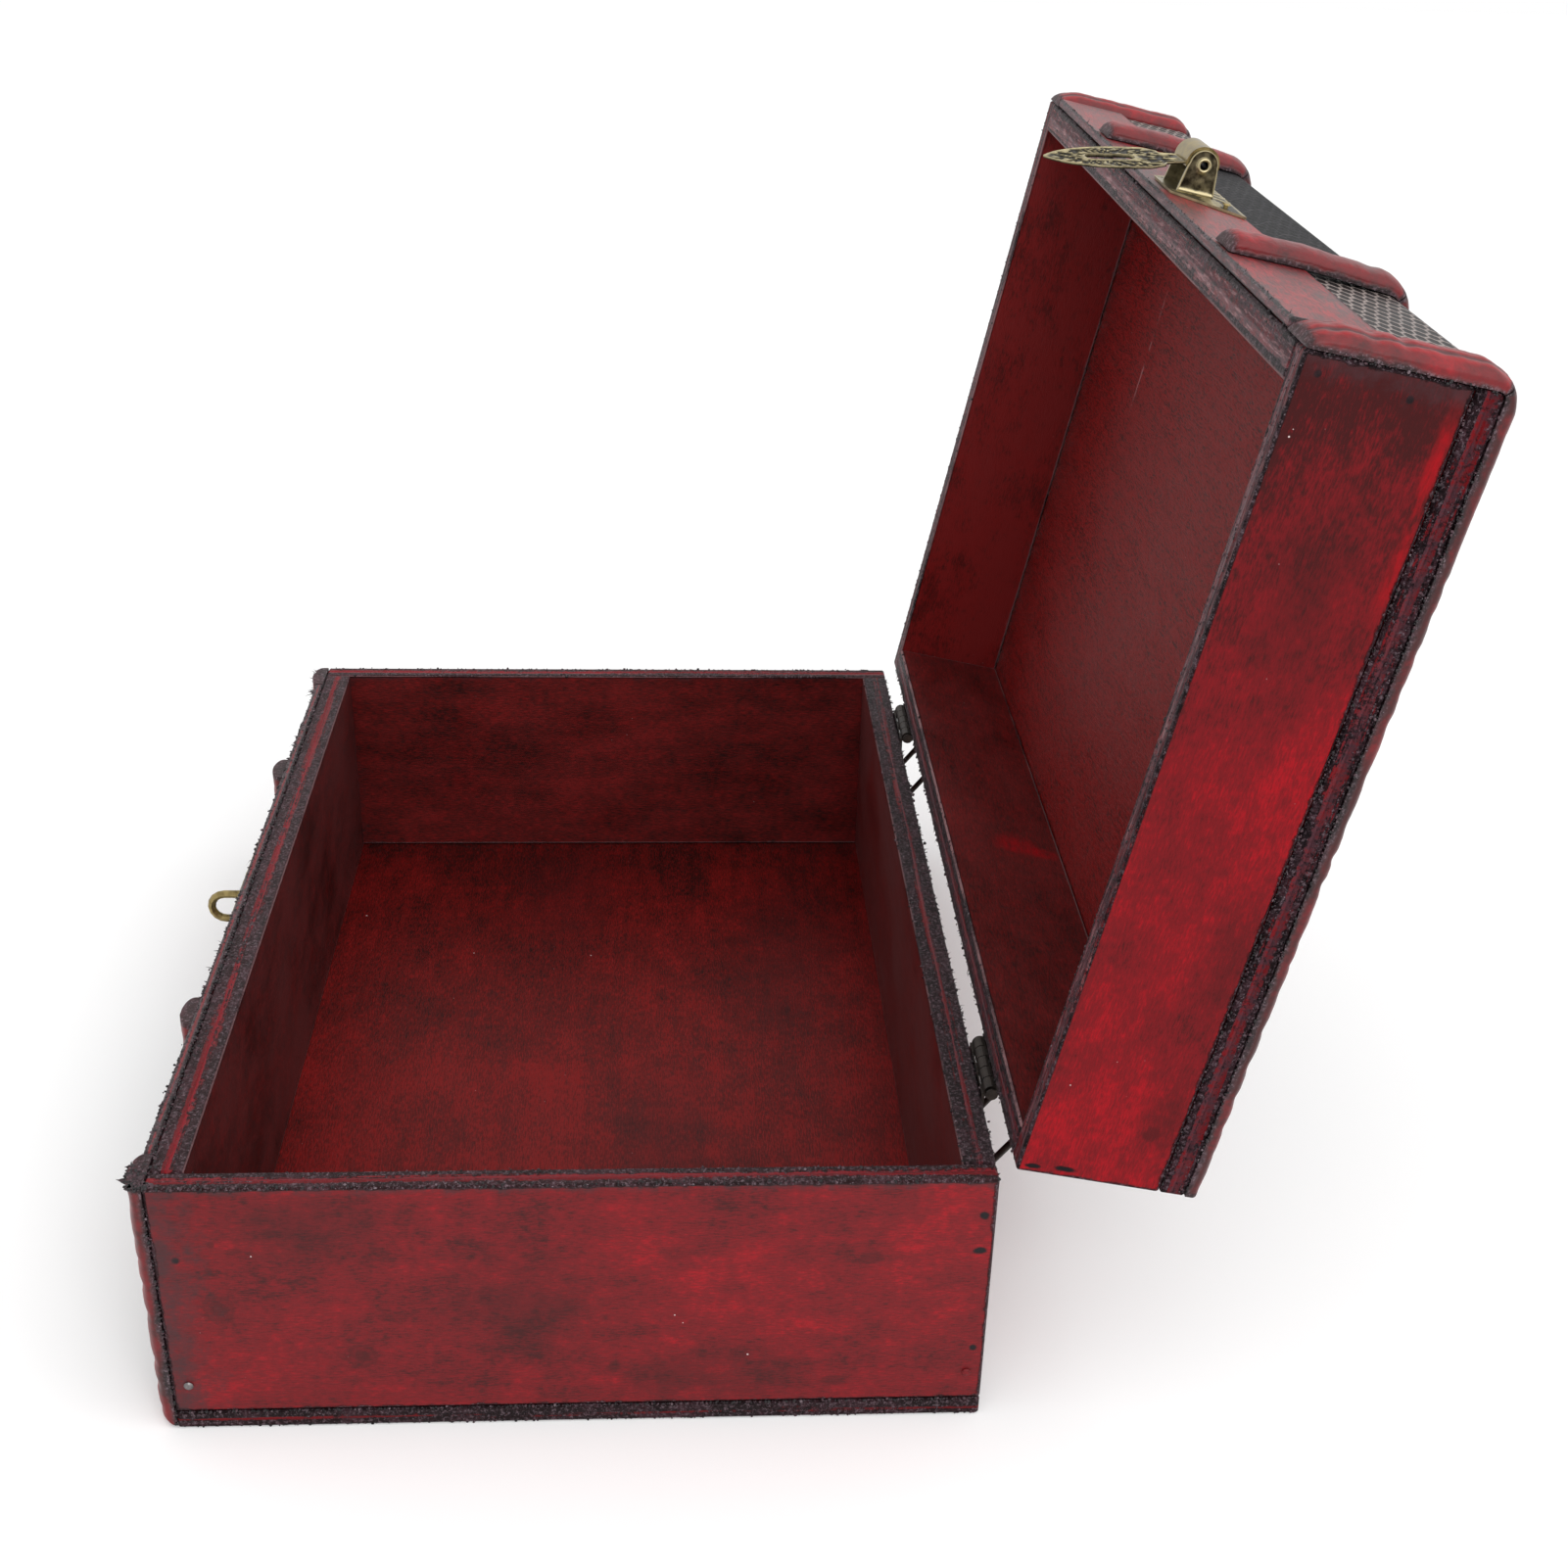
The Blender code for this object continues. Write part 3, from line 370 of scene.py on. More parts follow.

# %% [markdown]
# Hands and glue have blackened some edges more than others, so each board says how wide the wear is
# on its sides, and how much painted shade darkens its stain towards one end. The narrow faces show the
# layers of the ply between two lines of crust; a pale line along the inner edge is a painted highlight.


# %% One stained board
def stained_board(node, grain, thin, inward, wear, tone=0.5, inner_tone=0.6, painted_shade_slope=0.0, sheen=0.2, crusty=0.0,
                  mottle=1.0, fibre=1.2, dust_and_painted_sheen=0.0, ply=None, scraped=0.0, flaws=()):
    """Finish for one board from its box.

    inward is +1 or -1, the side of the thin axis that faces into the chest, or 0; wear gives the
    blackened width in mm at the low and high side of the other two axes; tone and inner_tone are how
    bright the stain is outside and inside; painted_shade_slope is painted shade, the stain's change per
    metre along the grain's low half; mottle and fibre are the strengths of clouds and fine grain;
    dust_and_painted_sheen greys the inner face with dust and a painted sheen; crusty widens the crust
    on the narrow faces, ply is their colour, scraped their pale scrapes on the lid.
    """
    on_lid = nodes[node]["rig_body"] != "base"
    low, high = board_box(node)
    thick = AXIS[thin]
    finish = Finish("stain_" + node)
    place = finish.place(on_lid)
    axes = finish.split(place)
    streaks, threads, fine, clouds, blots, rag = board_noises(finish, place, grain)
    shade = (streaks * 0.7 + clouds * 1.1 + blots * 0.7 + rag * 0.6 - 1.55) * mottle
    shade = shade + (fine + threads * 0.22 - 0.61) * fibre
    # Painted shade: the stain darkens towards the low end of the grain.
    if painted_shade_slope:
        along = AXIS[grain]
        shade = shade + (axes[along] - float(low[along] + high[along]) / 2.0).least(0.0) * painted_shade_slope
    stain = finish.paint(DARK_STAIN, ((shade + tone).ramp(0.0, 0.5), MIDDLE_STAIN),
                         ((shade + tone).ramp(0.45, 1.0), BRIGHT_STAIN))
    share = (axes[thick] - float(low[thick])) / float(high[thick] - low[thick])
    if inward:
        within = share.ramp(0.45, 0.55) if inward > 0 else share.ramp(0.55, 0.45)
        # The grey clouds on the inner face are partly dust and partly a painted sheen.
        inner = finish.paint(INSIDE_DARK, ((shade + inner_tone).ramp(0.10, 0.62), INSIDE_STAIN),
                             ((shade + inner_tone).ramp(0.55, 1.05), INSIDE_BRIGHT),
                             (clouds.ramp(0.2, 0.7) * dust_and_painted_sheen, DUST_AND_PAINTED_SHEEN))
        stain = finish.paint(stain, (within, inner))
    specks = finish.cells(place, 260.0).ramp(0.045, 0.015) * finish.noise(place, 70.0, 2.0).ramp(0.58, 0.66)
    stain = finish.paint(stain, (specks * 0.7, PALE_SPECK))
    for flaw in flaws:
        stain = finish.paint(stain, *flaw_coats(finish, place, blots, streaks, *flaw))

    edges = [(side, width * MM) for i, widths in zip([i for i in range(3) if i != thick], wear)
             for side, width in zip((axes[i] - float(low[i]), float(high[i]) - axes[i]), widths)]
    smudges, crusts = zip(*(edge_wear(blots, rag, side, width) for side, width in edges))
    smudge, crust = reduce(Term.most, smudges), reduce(Term.most, crusts)
    if inward:
        crust = crust * (1.0 - within * 0.8)
    black = black_crust(finish, place)
    stain = finish.paint(stain, (smudge * (rag.ramp(0.36, 0.56) * 0.35 + 0.53), SMUDGE), (crust * 0.9, black))

    narrow = reduce(Term.least, [side for side, width in edges]).ramp(0.75 * MM, 0.40 * MM)
    layers = finish.noise(place, axis_scale(thin, 850.0, 14.0), 4.0, 0.65)
    cover = abs(share - 0.5) * 2.0 + (layers - 0.5) * 2.2 + (rag - 0.5) * 1.5 + crusty
    edge_crust = cover.ramp(0.22, 0.46)
    tint = ply or (PLY_PLUM if on_lid else PLY_RED)
    bare = finish.paint(MIDDLE_STAIN, ((layers + (rag - 0.5) * 0.5).ramp(0.36, 0.58), tint))
    if on_lid:
        scrapes = finish.noise(place, axis_scale(grain, 150.0, 1100.0), 4.0, 0.7)
        bare = finish.paint(bare, ((streaks * 0.4 + rag * 0.6).ramp(0.45, 0.56) * 0.85, CRUST_PLUM),
                            (scrapes.ramp(0.53, 0.63) * scraped, PALE_SCRAPE_AND_HIGHLIGHT),
                            (scrapes.ramp(0.46, 0.38) * 0.7, CRUST_BLACK))
    bare = finish.paint(bare, (edge_crust * 0.95, black))
    # A pale line along the inner edge of the narrow face is a painted highlight on the lit cut edge.
    if inward and thin != "z":
        to_edge = 1.0 - share if inward > 0 else share
        rubbed_and_highlight = to_edge.ramp(0.11, 0.05) if on_lid else to_edge.ramp(0.06, 0.02)
        bare = finish.paint(bare, (rubbed_and_highlight * clouds.ramp(0.36, 0.52) * (0.9 if on_lid else 0.5), PALE_SCRAPE_AND_HIGHLIGHT))
    stain = finish.paint(stain, (narrow, bare))

    rough_part = crust.most(narrow * edge_crust)
    height = fine * (0.1 * fibre) + streaks * 0.08 + rough_part * rag * 2.4
    finish.feed(Base_Color=stain, Roughness=streaks * 0.16 + 0.36 + rough_part * 0.1,
                Normal=finish.bump(height, 0.6 * MM, 1.0), Specular_IOR_Level=sheen)
    dress(node, finish)
    return finish


print("a board can be stained")

# %% [markdown]
# Each board has its own wear. The near end carries two knots, nail holes and chips from years of
# handling; the lid's end was rubbed bright along its top seam and its lining has one long scratch;
# the floor has dark drips. Places are in millimetres, on the lid those of the shut lid.

# %% Boards
NEAT = (0.6, 0.6)
BASE_WALL = dict(grain="x", thin="y", wear=(NEAT, (0.5, 1.2)))
LID_WALL = dict(grain="x", thin="y", wear=(NEAT, (1.2, 0.5)))
BAND = dict(grain="x", thin="y", inward=0, tone=0.45, sheen=0.7, mottle=1.4, fibre=2.4)
BOARDS = {
    "base_bottom_panel": dict(
        grain="x", thin="z", inward=1, inner_tone=0.72, wear=((1.5, 1.5), (1.5, 1.5)),
        painted_shade_slope=2.4, sheen=0.12, crusty=0.35, ply=PLY_BROWN, fibre=1.7, mottle=0.95,
        flaws=marks_on(
            "z", 5.2, ("cloud", -60, 62, 34, 0.4), ("cloud", -105, -15, 30, 0.6), ("cloud", 60, 20, 26, 0.3),
            ("pale", -66, -44.8, 0.42), ("pale", -91.4, -84.2, 0.36), ("pale", -64, -5, 0.3),
            ("stain", -28, -42, 3.0), ("stain", -40, -37, 2.4), ("stain", 92, 62, 2.6))),
    "base_end_right": dict(
        grain="y", thin="x", inward=-1, tone=0.49, inner_tone=0.5, wear=((16.0, 0.7), (0.5, 2.6)),
        mottle=1.15, fibre=1.0, crusty=0.1,
        flaws=marks_on(
            "x", 150, ("cloud", -14, 38, 22, 0.7), ("cloud", -66, 62, 17, 0.5), ("cloud", 30, 14, 14, 0.4),
            ("knot", -86.5, 38, 8), ("knot", -53.7, 22.6, 7), ("hole", -94.6, 53, 1.4),
            ("stain", -87.4, 49.5, 1.6), ("stain", -81, 55.5, 1.6, 0.5), ("stain", -86, 57.5, 1.2),
            ("stain", 70, 51, 2.4, 0.6), ("stain", 8, 18, 2.2), ("stain", 62, 12, 2.2, 0.5),
            ("hole", 97.0, 63.5, 1.3), ("hole", 97.0, 52.8, 1.4, 0.6), ("hole", 97.2, 22, 1.3),
            ("pale", -77, 54, 0.24), ("pale", 41, 21, 0.3), ("pale", 23, 34, 0.21), ("pale", 25, 31.5, 0.18))),
    "base_end_left": dict(
        grain="y", thin="x", inward=1, inner_tone=0.57, wear=((9.0, 0.7), (0.5, 2.0)),
        dust_and_painted_sheen=0.2, mottle=1.2, fibre=1.7),
    "base_front_wall": dict(
        BASE_WALL, inward=1, inner_tone=0.53, dust_and_painted_sheen=0.7, fibre=2.4, mottle=1.9, crusty=0.15),
    "base_back_wall": dict(
        BASE_WALL, inward=-1, inner_tone=0.68, dust_and_painted_sheen=0.8, fibre=1.9, crusty=0.25, ply=PLY_PLUM),
    "lid_top_panel": dict(
        grain="x", thin="z", inward=-1, inner_tone=1.0, wear=((1.2, 1.2), (1.2, 1.2)),
        painted_shade_slope=1.6, sheen=0.05, crusty=-0.1, ply=PLY_BROWN, mottle=0.55, fibre=4.2, dust_and_painted_sheen=0.2,
        flaws=marks_on("z", 110, ("scratch", -79, -42, 0.8, 1.0, 0.03))),
    "lid_end_right": dict(
        grain="y", thin="x", inward=-1, tone=0.60, inner_tone=0.5, wear=((6.0, 1.2), (0.1, 0.5)),
        painted_shade_slope=5.8, crusty=-0.35, ply=PLY_GREY, mottle=1.05, fibre=1.0, sheen=0.09, scraped=0.5,
        flaws=marks_on(
            "x", 150, ("cloud", 36, 106, 8, 0.3), ("cloud", 80, 104, 11, 0.6), ("cloud", -52, 92, 18, 0.5),
            ("rubbed_and_highlight", -74, 107.9, 2.7, 0.09), ("rubbed_and_highlight", -10, 109.8, 1.8, 0.09),
            ("hole", -96.0, 78.4, 1.0), ("hole", -95, 98, 1.0), ("stain", -92, 103, 2.0),
            ("pale", -82.9, 77.1, 0.21), ("pale", -84.5, 77.4, 0.13), ("stain", 84, 103, 2.6),
            ("hole", 97.5, 86, 1.0, 1.0, 0.3), ("hole", 98, 78, 0.8, 1.0, 0.3), ("pale", 74, 80, 0.21))),
    "lid_end_left": dict(
        grain="y", thin="x", inward=1, tone=0.55, inner_tone=0.98, wear=((3.0, 1.2), (0.5, 0.8)),
        dust_and_painted_sheen=0.2, mottle=1.8, fibre=1.8),
    "lid_front_wall": dict(LID_WALL, inward=1, crusty=-0.2, scraped=0.75),
    "lid_back_wall": dict(
        LID_WALL, inward=-1, inner_tone=0.58, dust_and_painted_sheen=0.3, fibre=1.7,
        flaws=marks_on("y", 91.8, ("rubbed_and_highlight", -4, 96, 5.4, 0.7, 0.6), ("rubbed_and_highlight", -1, 104, 4.2, 1.0, 0.5))),
    "base_front_band": dict(BAND, wear=(NEAT, (0.5, 1.5)), crusty=0.1),
    "lid_front_band": dict(BAND, wear=(NEAT, (1.5, 0.5)), crusty=-0.2, scraped=0.6),
}
board_looks = {node: stained_board(node, **board) for node, board in BOARDS.items()}
print("stained boards:", len(board_looks))

# %% [markdown]
# New pieces are surfaces worked out with whole arrays. `lattice_noise` gives every whole place a
# fixed random number and blends between neighbours, and `skin` closes a sheet of points, rows along
# the piece and columns around it, into one solid shape.


# %% Numpy helpers
def lattice_noise(points, size, seed):
    """Smooth noise from -1 to 1 at places (..., 3): a blend of the eight lattice values around each."""
    scaled = np.asarray(points, float) / size
    cell = np.floor(scaled).astype(np.int64)
    part = scaled - cell
    part = part * part * (3.0 - 2.0 * part)
    total = np.zeros(scaled.shape[:-1])
    for corner in np.ndindex(2, 2, 2):
        key = (cell + corner) * np.array([374761393, 668265263, 1440662683])
        key = key.sum(-1) + seed * 974634777
        key = (key ^ (key >> 13)) * 1274126177
        value = ((key ^ (key >> 16)) & 0xFFFF) / 32767.5 - 1.0
        weight = np.where(corner, part, 1.0 - part).prod(-1)
        total += weight * value
    return total


def piece(name, places, faces, body, finish, replaced=(), marks=None, sharp=40.0):
    """Make a mesh object from points and faces, with numbers for the material, and put it on its body."""
    mesh = bpy.data.meshes.new(name)
    mesh.from_pydata(places.tolist(), [], faces)
    for mark, values in (marks or {}).items():
        mesh.attributes.new(mark, "FLOAT", "POINT").data.foreach_set("value", values.astype(np.float32))
    mesh.shade_smooth()
    mesh.set_sharp_from_angle(angle=math.radians(sharp))
    mesh.materials.append(finish.material)
    obj = bpy.data.objects.new(name, mesh)
    bpy.context.scene.collection.objects.link(obj)
    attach(obj, body)
    if replaced:
        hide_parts(*replaced)
    return obj


def skin(name, sheet, body, finish, replaced=(), marks=None, ring=False):
    """Close a sheet (rows, columns, 3): columns run round and meet; the ends get fans, or meet in a ring."""
    rows, columns = sheet.shape[:2]
    places = sheet.reshape(-1, 3)
    index = np.arange(rows * columns).reshape(rows, columns)
    after = np.roll(index, -1, axis=0) if ring else index[1:]
    before = index if ring else index[:-1]
    quads = joined(before, np.roll(before, -1, axis=1), np.roll(after, -1, axis=1), after).reshape(-1, 4)
    a, b, c, d = np.moveaxis(places[quads] - places.mean(0), 1, 0)
    volume = (a * (np.cross(b, c) + np.cross(c, d))).sum()
    faces = quads.tolist()
    marks = {mark: values.ravel() for mark, values in (marks or {}).items()}
    if not ring:
        places = np.concatenate([places, sheet[:1].mean(1), sheet[-1:].mean(1)])
        count = rows * columns
        faces += joined(np.roll(index[0], -1), index[0], count).tolist()
        faces += joined(index[-1], np.roll(index[-1], -1), count + 1).tolist()
        marks = {mark: np.r_[values, values[0], values[-1]] for mark, values in marks.items()}
    if volume < 0.0:
        faces = [face[::-1] for face in faces]
    return piece(name, places, faces, body, finish, replaced, marks)


def on_body(points, body):
    """Millimetre points of the shut chest as metres at rest: the lid's are opened."""
    return turned(points * MM, OPEN) if body == "lid" else points * MM


print("noise at the origin:", round(float(lattice_noise(np.zeros(3), 1.0, 1)), 3))

# %% [markdown]
# The rails are half-round lengths of wood, carved by hand: the straps nearly smooth, the end trims
# with shallow scallops and two long grooves. A rail is a half-round section carried along a line
# that has a back point and a crest point at every station, so it can lean in and turn the corner.

# %% Lines of the rails, in millimetres
FRONT, RIM, LID_RIM, LID_TOP, BACK = -100.0, 74.0, 74.4, 116.5, 100.0
BAND_HEIGHT = 20.5
FOOT_ROUND, FOOT_LEVEL = 3.8, 4.6
BOARD_ROUND, CREST_ROUND = 1.5, 10.0
HALF_MITRE_GAP = 0.11
STRAP = {"place": 72.0, "width": 13.0, "thick": 4.2, "rim": 3.1, "far": 1.9, "setback": 1.5}
END_TRIM = {"place": 143.0, "width": 14.0, "thick": 4.8, "rim": 0.3, "far": 0.3, "setback": 0.0}


def upright_part(rail, levels):
    """Stations (back y, back z, crest y, crest z) over the band at the given levels."""
    back = FRONT - rail["rim"]
    return np.array([(back, z, back - rail["thick"], z) for z in levels])


def foot_part(rail):
    """The foot of a rail on the base: its crest turns in on a quarter circle."""
    turn = np.radians(np.linspace(180.0, 270.0, 9))
    back = FRONT - rail["far"]
    y = back - rail["thick"] + FOOT_ROUND + FOOT_ROUND * np.cos(turn)
    z = FOOT_LEVEL + FOOT_ROUND * np.sin(turn)
    return joined(back, z, y, z)


def corner_part(rail, start, end):
    """Round the lid's front top corner: the back on a small circle, the crest on a larger one."""
    turn = np.radians(np.linspace(start, end, 9))
    offset = rail["far"]
    cosine, sine = np.cos(turn), np.sin(turn)
    return joined(FRONT + BOARD_ROUND + (BOARD_ROUND + offset) * cosine,
                  LID_TOP - BOARD_ROUND + (BOARD_ROUND + offset) * sine,
                  FRONT - offset - rail["thick"] + CREST_ROUND * (1.0 + cosine),
                  LID_TOP + offset + rail["thick"] - CREST_ROUND * (1.0 - sine))


def top_part(rail):
    """The last station, at the back of the lid's top."""
    back = LID_TOP + rail["far"]
    return np.array([(BACK, back, BACK, back + rail["thick"])])


def rail_lines(rail):
    """The three lengths of a rail; the two on the lid meet in a mitre with a small gap."""
    setback = rail["setback"]
    base = np.concatenate([upright_part(rail, (RIM - setback, RIM - BAND_HEIGHT)), foot_part(rail)])
    front = np.concatenate([upright_part(rail, (LID_RIM + setback, LID_RIM + BAND_HEIGHT)),
                            corner_part(rail, 180.0, 135.0)])
    front[-1] -= HALF_MITRE_GAP
    top = np.concatenate([corner_part(rail, 135.0, 90.0), top_part(rail)])
    top[0] += HALF_MITRE_GAP
    return {"base": base, "lid_front": front, "lid_top": top}


print("stations of a strap:", {part: len(line) for part, line in rail_lines(STRAP).items()})

# %% [markdown]
# The stain on a rail is brightest along the crest, brown in the grooves and black on the sawn ends.
# The carved surface carries numbers for this: its rise over the back, the depth of the cut, the
# rubbed ridges beside the grooves and the distance to the nearer end.


# %% Carved rails
def rail_finish(name, on_lid, bright):
    """Stain that follows the carving: rise brightens, cuts darken, ends and feet are crusted."""
    finish = Finish(name)
    place = finish.place(on_lid)
    rise = finish.mark("rise")
    clouds = finish.noise(place, 75.0, 5.0, 0.66)
    fine = finish.noise(place, 620.0, 4.0, 0.6)
    rag = finish.noise(place, 760.0, 5.0, 0.75)
    shade = (clouds - 0.5) * 1.5 + (fine - 0.5) * 0.6 + rise * 0.35 + bright
    stain = finish.paint(DARK_STAIN, (shade.ramp(0.25, 0.75), MIDDLE_STAIN),
                         (shade.ramp(0.70, 1.10), BRIGHT_STAIN),
                         (finish.mark("ridge") * shade.ramp(0.3, 0.8) * 0.85, RUBBED_STAIN),
                         (finish.mark("cut").ramp(0.25, 0.85) * 0.75, SMUDGE))
    foot = (rise + (clouds - 0.5) * 0.7).ramp(0.30, 0.06)
    worn = foot.most((finish.mark("end") + (rag - 0.5) * 2.4).ramp(1.9, 0.7))
    stain = finish.paint(stain, (worn * 0.85, black_crust(finish, place)))
    finish.feed(Base_Color=stain, Roughness=clouds * 0.18 + 0.30 + worn * 0.14, Specular_IOR_Level=0.34,
                Normal=finish.bump(fine * 0.4 + clouds * 0.3 + worn * rag * 1.5, 0.35 * MM, 0.9))
    return finish


def bell(value, middle, width, power=2):
    """1 at the middle, falling off smoothly on both sides."""
    return np.exp(-((value - middle) / width) ** power)


SCALLOP_LENGTH = 9.4
RAIL_STEP = 0.55
SINK_LEFT = 0.14


def carved_rail(name, line, rail, side, body, finish, scallop, groove, nose, seed):
    """A half-round section (flat back, straight low sides, round crown) carried along a line of stations.

    Scallops lower the crest by a wave along the line; grooves are two narrow hollows along the crown;
    over the length of the nose the section sinks on a quarter ellipse to a seventh of its height.
    """
    crest = np.cumsum(np.r_[0.0, np.linalg.norm(np.diff(line[:, 2:], axis=0), axis=1)])
    along = np.linspace(0.0, crest[-1], int(crest[-1] / RAIL_STEP) + 2)
    station = joined(*(np.interp(along, crest, column) for column in line.T))
    turn = np.linspace(0.0, math.pi, 27)
    share = np.r_[0.0, 0.35 + 0.65 * np.sin(turn), 0.0]
    crown = np.r_[0.0, np.sin(turn), 0.0]
    s, u = np.meshgrid(along, np.r_[1.0, np.cos(turn), -1.0], indexing="ij")
    probe = joined(s, u * 6.0, 17.0 * seed)
    level_probe = probe * [1.0, 0.0, 1.0]
    drift = lattice_noise(joined(s, 0.0, 5.0 * seed), 13.0, seed)
    wave = 0.5 - 0.5 * np.cos(2.0 * math.pi * s / SCALLOP_LENGTH + 3.2 * drift)
    depth = 0.55 + 0.45 * lattice_noise(level_probe, 16.0, seed + 9)
    hollow = bell(u, 0.38, 0.09) + bell(u, -0.42, 0.10)
    ridge = bell(u, 0.64, 0.10) + bell(u, 0.16, 0.07) + bell(u, -0.66, 0.10)
    chip = lattice_noise(probe, 2.2, seed + 3) * 0.10 + lattice_noise(probe, 0.9, seed + 4) * 0.06
    cut = (scallop * depth * wave ** 2 + groove * hollow + 0.15 + chip) * crown
    sink = 1.0 - np.clip(s / nose, 0.0, 1.0) if nose else np.zeros_like(s)
    height = (share - cut / rail["thick"]) * (SINK_LEFT + (1.0 - SINK_LEFT) * np.sqrt(1.0 - sink ** 2))
    slim = 1.0 - 0.012 * (1.0 + lattice_noise(level_probe, 9.0, seed + 7))
    x = side * rail["place"] + 0.5 * rail["width"] * u * slim
    y = station[:, :1] + (station[:, 2:3] - station[:, :1]) * height
    z = station[:, 1:2] + (station[:, 3:4] - station[:, 1:2]) * height
    marks = {"rise": height, "cut": (scallop * wave ** 2 * 0.2 + groove * hollow) / max(groove, 0.3) * crown,
             "ridge": ridge * min(1.0, groove / 0.4), "end": np.minimum(s, crest[-1] - s)}
    sheet = on_body(joined(x, y, z), body)
    return skin(name, sheet, body, finish, (name.replace("carved_", ""),), marks)


rail_looks = {"base": rail_finish("rail_stain_base", False, 0.42),
              "lid_front": rail_finish("rail_stain_lid", True, 0.50),
              "lid_top": rail_finish("rail_stain_lid_top", True, 0.22)}
RAIL_KINDS = (("strap", STRAP, 0.18, 0.0, 3.0), ("end_trim", END_TRIM, 0.8, 0.40, 8.0))
for kind, rail, scallop, groove, nose in RAIL_KINDS:
    for part, line in rail_lines(rail).items():
        body = "base" if part == "base" else "lid"
        for side, hand in ((-1.0, "left"), (1.0, "right")):
            carved_rail(f"carved_{part}_{kind}_{hand}", line, rail, side, body, rail_looks[part], scallop, groove,
                        nose if part == "lid_front" else 0.0, seed=len(part) + len(kind) + int(side))
print("carved rails: 12")

# %% [markdown]
# The leather between straps and trims is pressed with a net of long six-sided scales: raised ridges
# painted pale as highlights around hollows painted dark as shade. The middle, between the straps, is
# plain grained leather with fine wavy lines that carry painted highlights. Distances run along x and
# around the corner, because height plus depth grows evenly over it.

# %% Pressed leather
# Painted light on the leather: pale highlights on ridges and lines, dark shade in the hollows.
RIDGE_HIGHLIGHT = colour(166, 152, 147)
HOLLOW_SHADE = colour(20, 14, 14)
PLAIN_DARK = colour(12, 11, 13)
PLAIN_PALE = colour(36, 36, 39)
PLAIN_LINE_HIGHLIGHT = colour(88, 86, 88)
SCALE_AROUND, SCALE_ALONG = 2.9 * MM, 5.2 * MM
ROOT_THREE = 1.7321


def six_sided_net(a, b):
    """Distance from the middle of the nearest six-sided cell, 0 in the middle and 1 on the ridge.

    Two sets of points, one shifted by half a step, give each place two candidates; the nearer wins.
    """
    found = []
    for shift in (0.0, 0.5):
        p = abs((a + shift).wrap(1.0) - 0.5)
        q = abs((b + shift * ROOT_THREE).wrap(ROOT_THREE) - 0.8660)
        found.append(((p * 0.5 + q * 0.8660).most(p)) * 2.0)
    return found[0].least(found[1])


def pressed_leather(name, on_lid):
    """Scales at the sides, grain and wavy lines in the middle."""
    finish = Finish(name)
    place = finish.place(on_lid)
    x, y, z = finish.split(place)
    around = y + z if on_lid else z
    wobble = finish.noise(place, 90.0, 2.0)
    net = six_sided_net(around / SCALE_AROUND + wobble * 0.5, x / SCALE_ALONG + wobble * 0.4)
    grain = finish.cells(place, 1150.0)
    clouds = finish.noise(place, 50.0, 4.0)
    fine = finish.noise(place, 700.0, 4.0, 0.6)
    ridge = (net + (fine - 0.5) * 0.3).ramp(0.62, 0.95)
    # The scales are painted: highlight on the raised ridges, shade in the hollows.
    scales = finish.paint(HOLLOW_SHADE, (ridge * (clouds * 0.9 + 0.3), RIDGE_HIGHLIGHT))
    middle = abs(x).ramp((STRAP["place"] + 1.0) * MM, STRAP["place"] * MM)
    curl = abs((x * 210.0 + (around * 300.0).sine() * 1.3).sine()).ramp(0.10, 0.03)
    # The wavy lines are embossed and carry a painted highlight.
    plain = finish.paint(PLAIN_DARK, ((grain * 0.8 + clouds * 0.4).ramp(0.35, 0.95), PLAIN_PALE),
                         (curl * 0.5, PLAIN_LINE_HIGHLIGHT))
    tint = finish.paint(scales, (middle, plain))
    height = ridge * (1.0 - middle) + (1.0 - grain) * 0.35 * (middle * 0.7 + 0.3) + curl * middle * 0.6
    finish.feed(Base_Color=tint, Roughness=clouds * 0.2 + 0.42 - ridge * 0.08 + middle * 0.2,
                Specular_IOR_Level=0.22, Normal=finish.bump(height, 0.45 * MM, 0.9))
    return finish


dress("base_front_leather", pressed_leather("pressed_leather_base", False))
dress("lid_leather_cover", pressed_leather("pressed_leather_lid", True))
print("leather on the front and over the lid")

# %% [markdown]
# The hasp is cast and stamped brass that has been darkened and rubbed again: pale gold on whatever
# stands up, dark olive in the hollows. Each stamped piece carries its own relief as a number, so the
# polish follows the shape. The hinges and their wires are a darker bronze, the nails steel; one nail
# of the near end was stained over with the board.


# %% Metal
def old_metal(name, bright, dark, rough, relief=False):
    """Cloudy metal between a rubbed and a dark colour; with relief, high places are the rubbed ones."""
    finish = Finish(name)
    clouds = finish.noise(finish.place(False), 380.0, 4.0, 0.6)
    polish = (clouds - 0.5) * 0.9 + 0.62
    if relief:
        polish = polish - 0.5 + finish.mark("relief")
    tint = finish.paint(dark, (polish.ramp(0.2, 0.95), bright))
    finish.feed(Base_Color=tint, Metallic=0.85, Roughness=clouds * 0.3 + rough,
                Normal=finish.bump(clouds, 0.12 * MM, 0.5))
    return finish


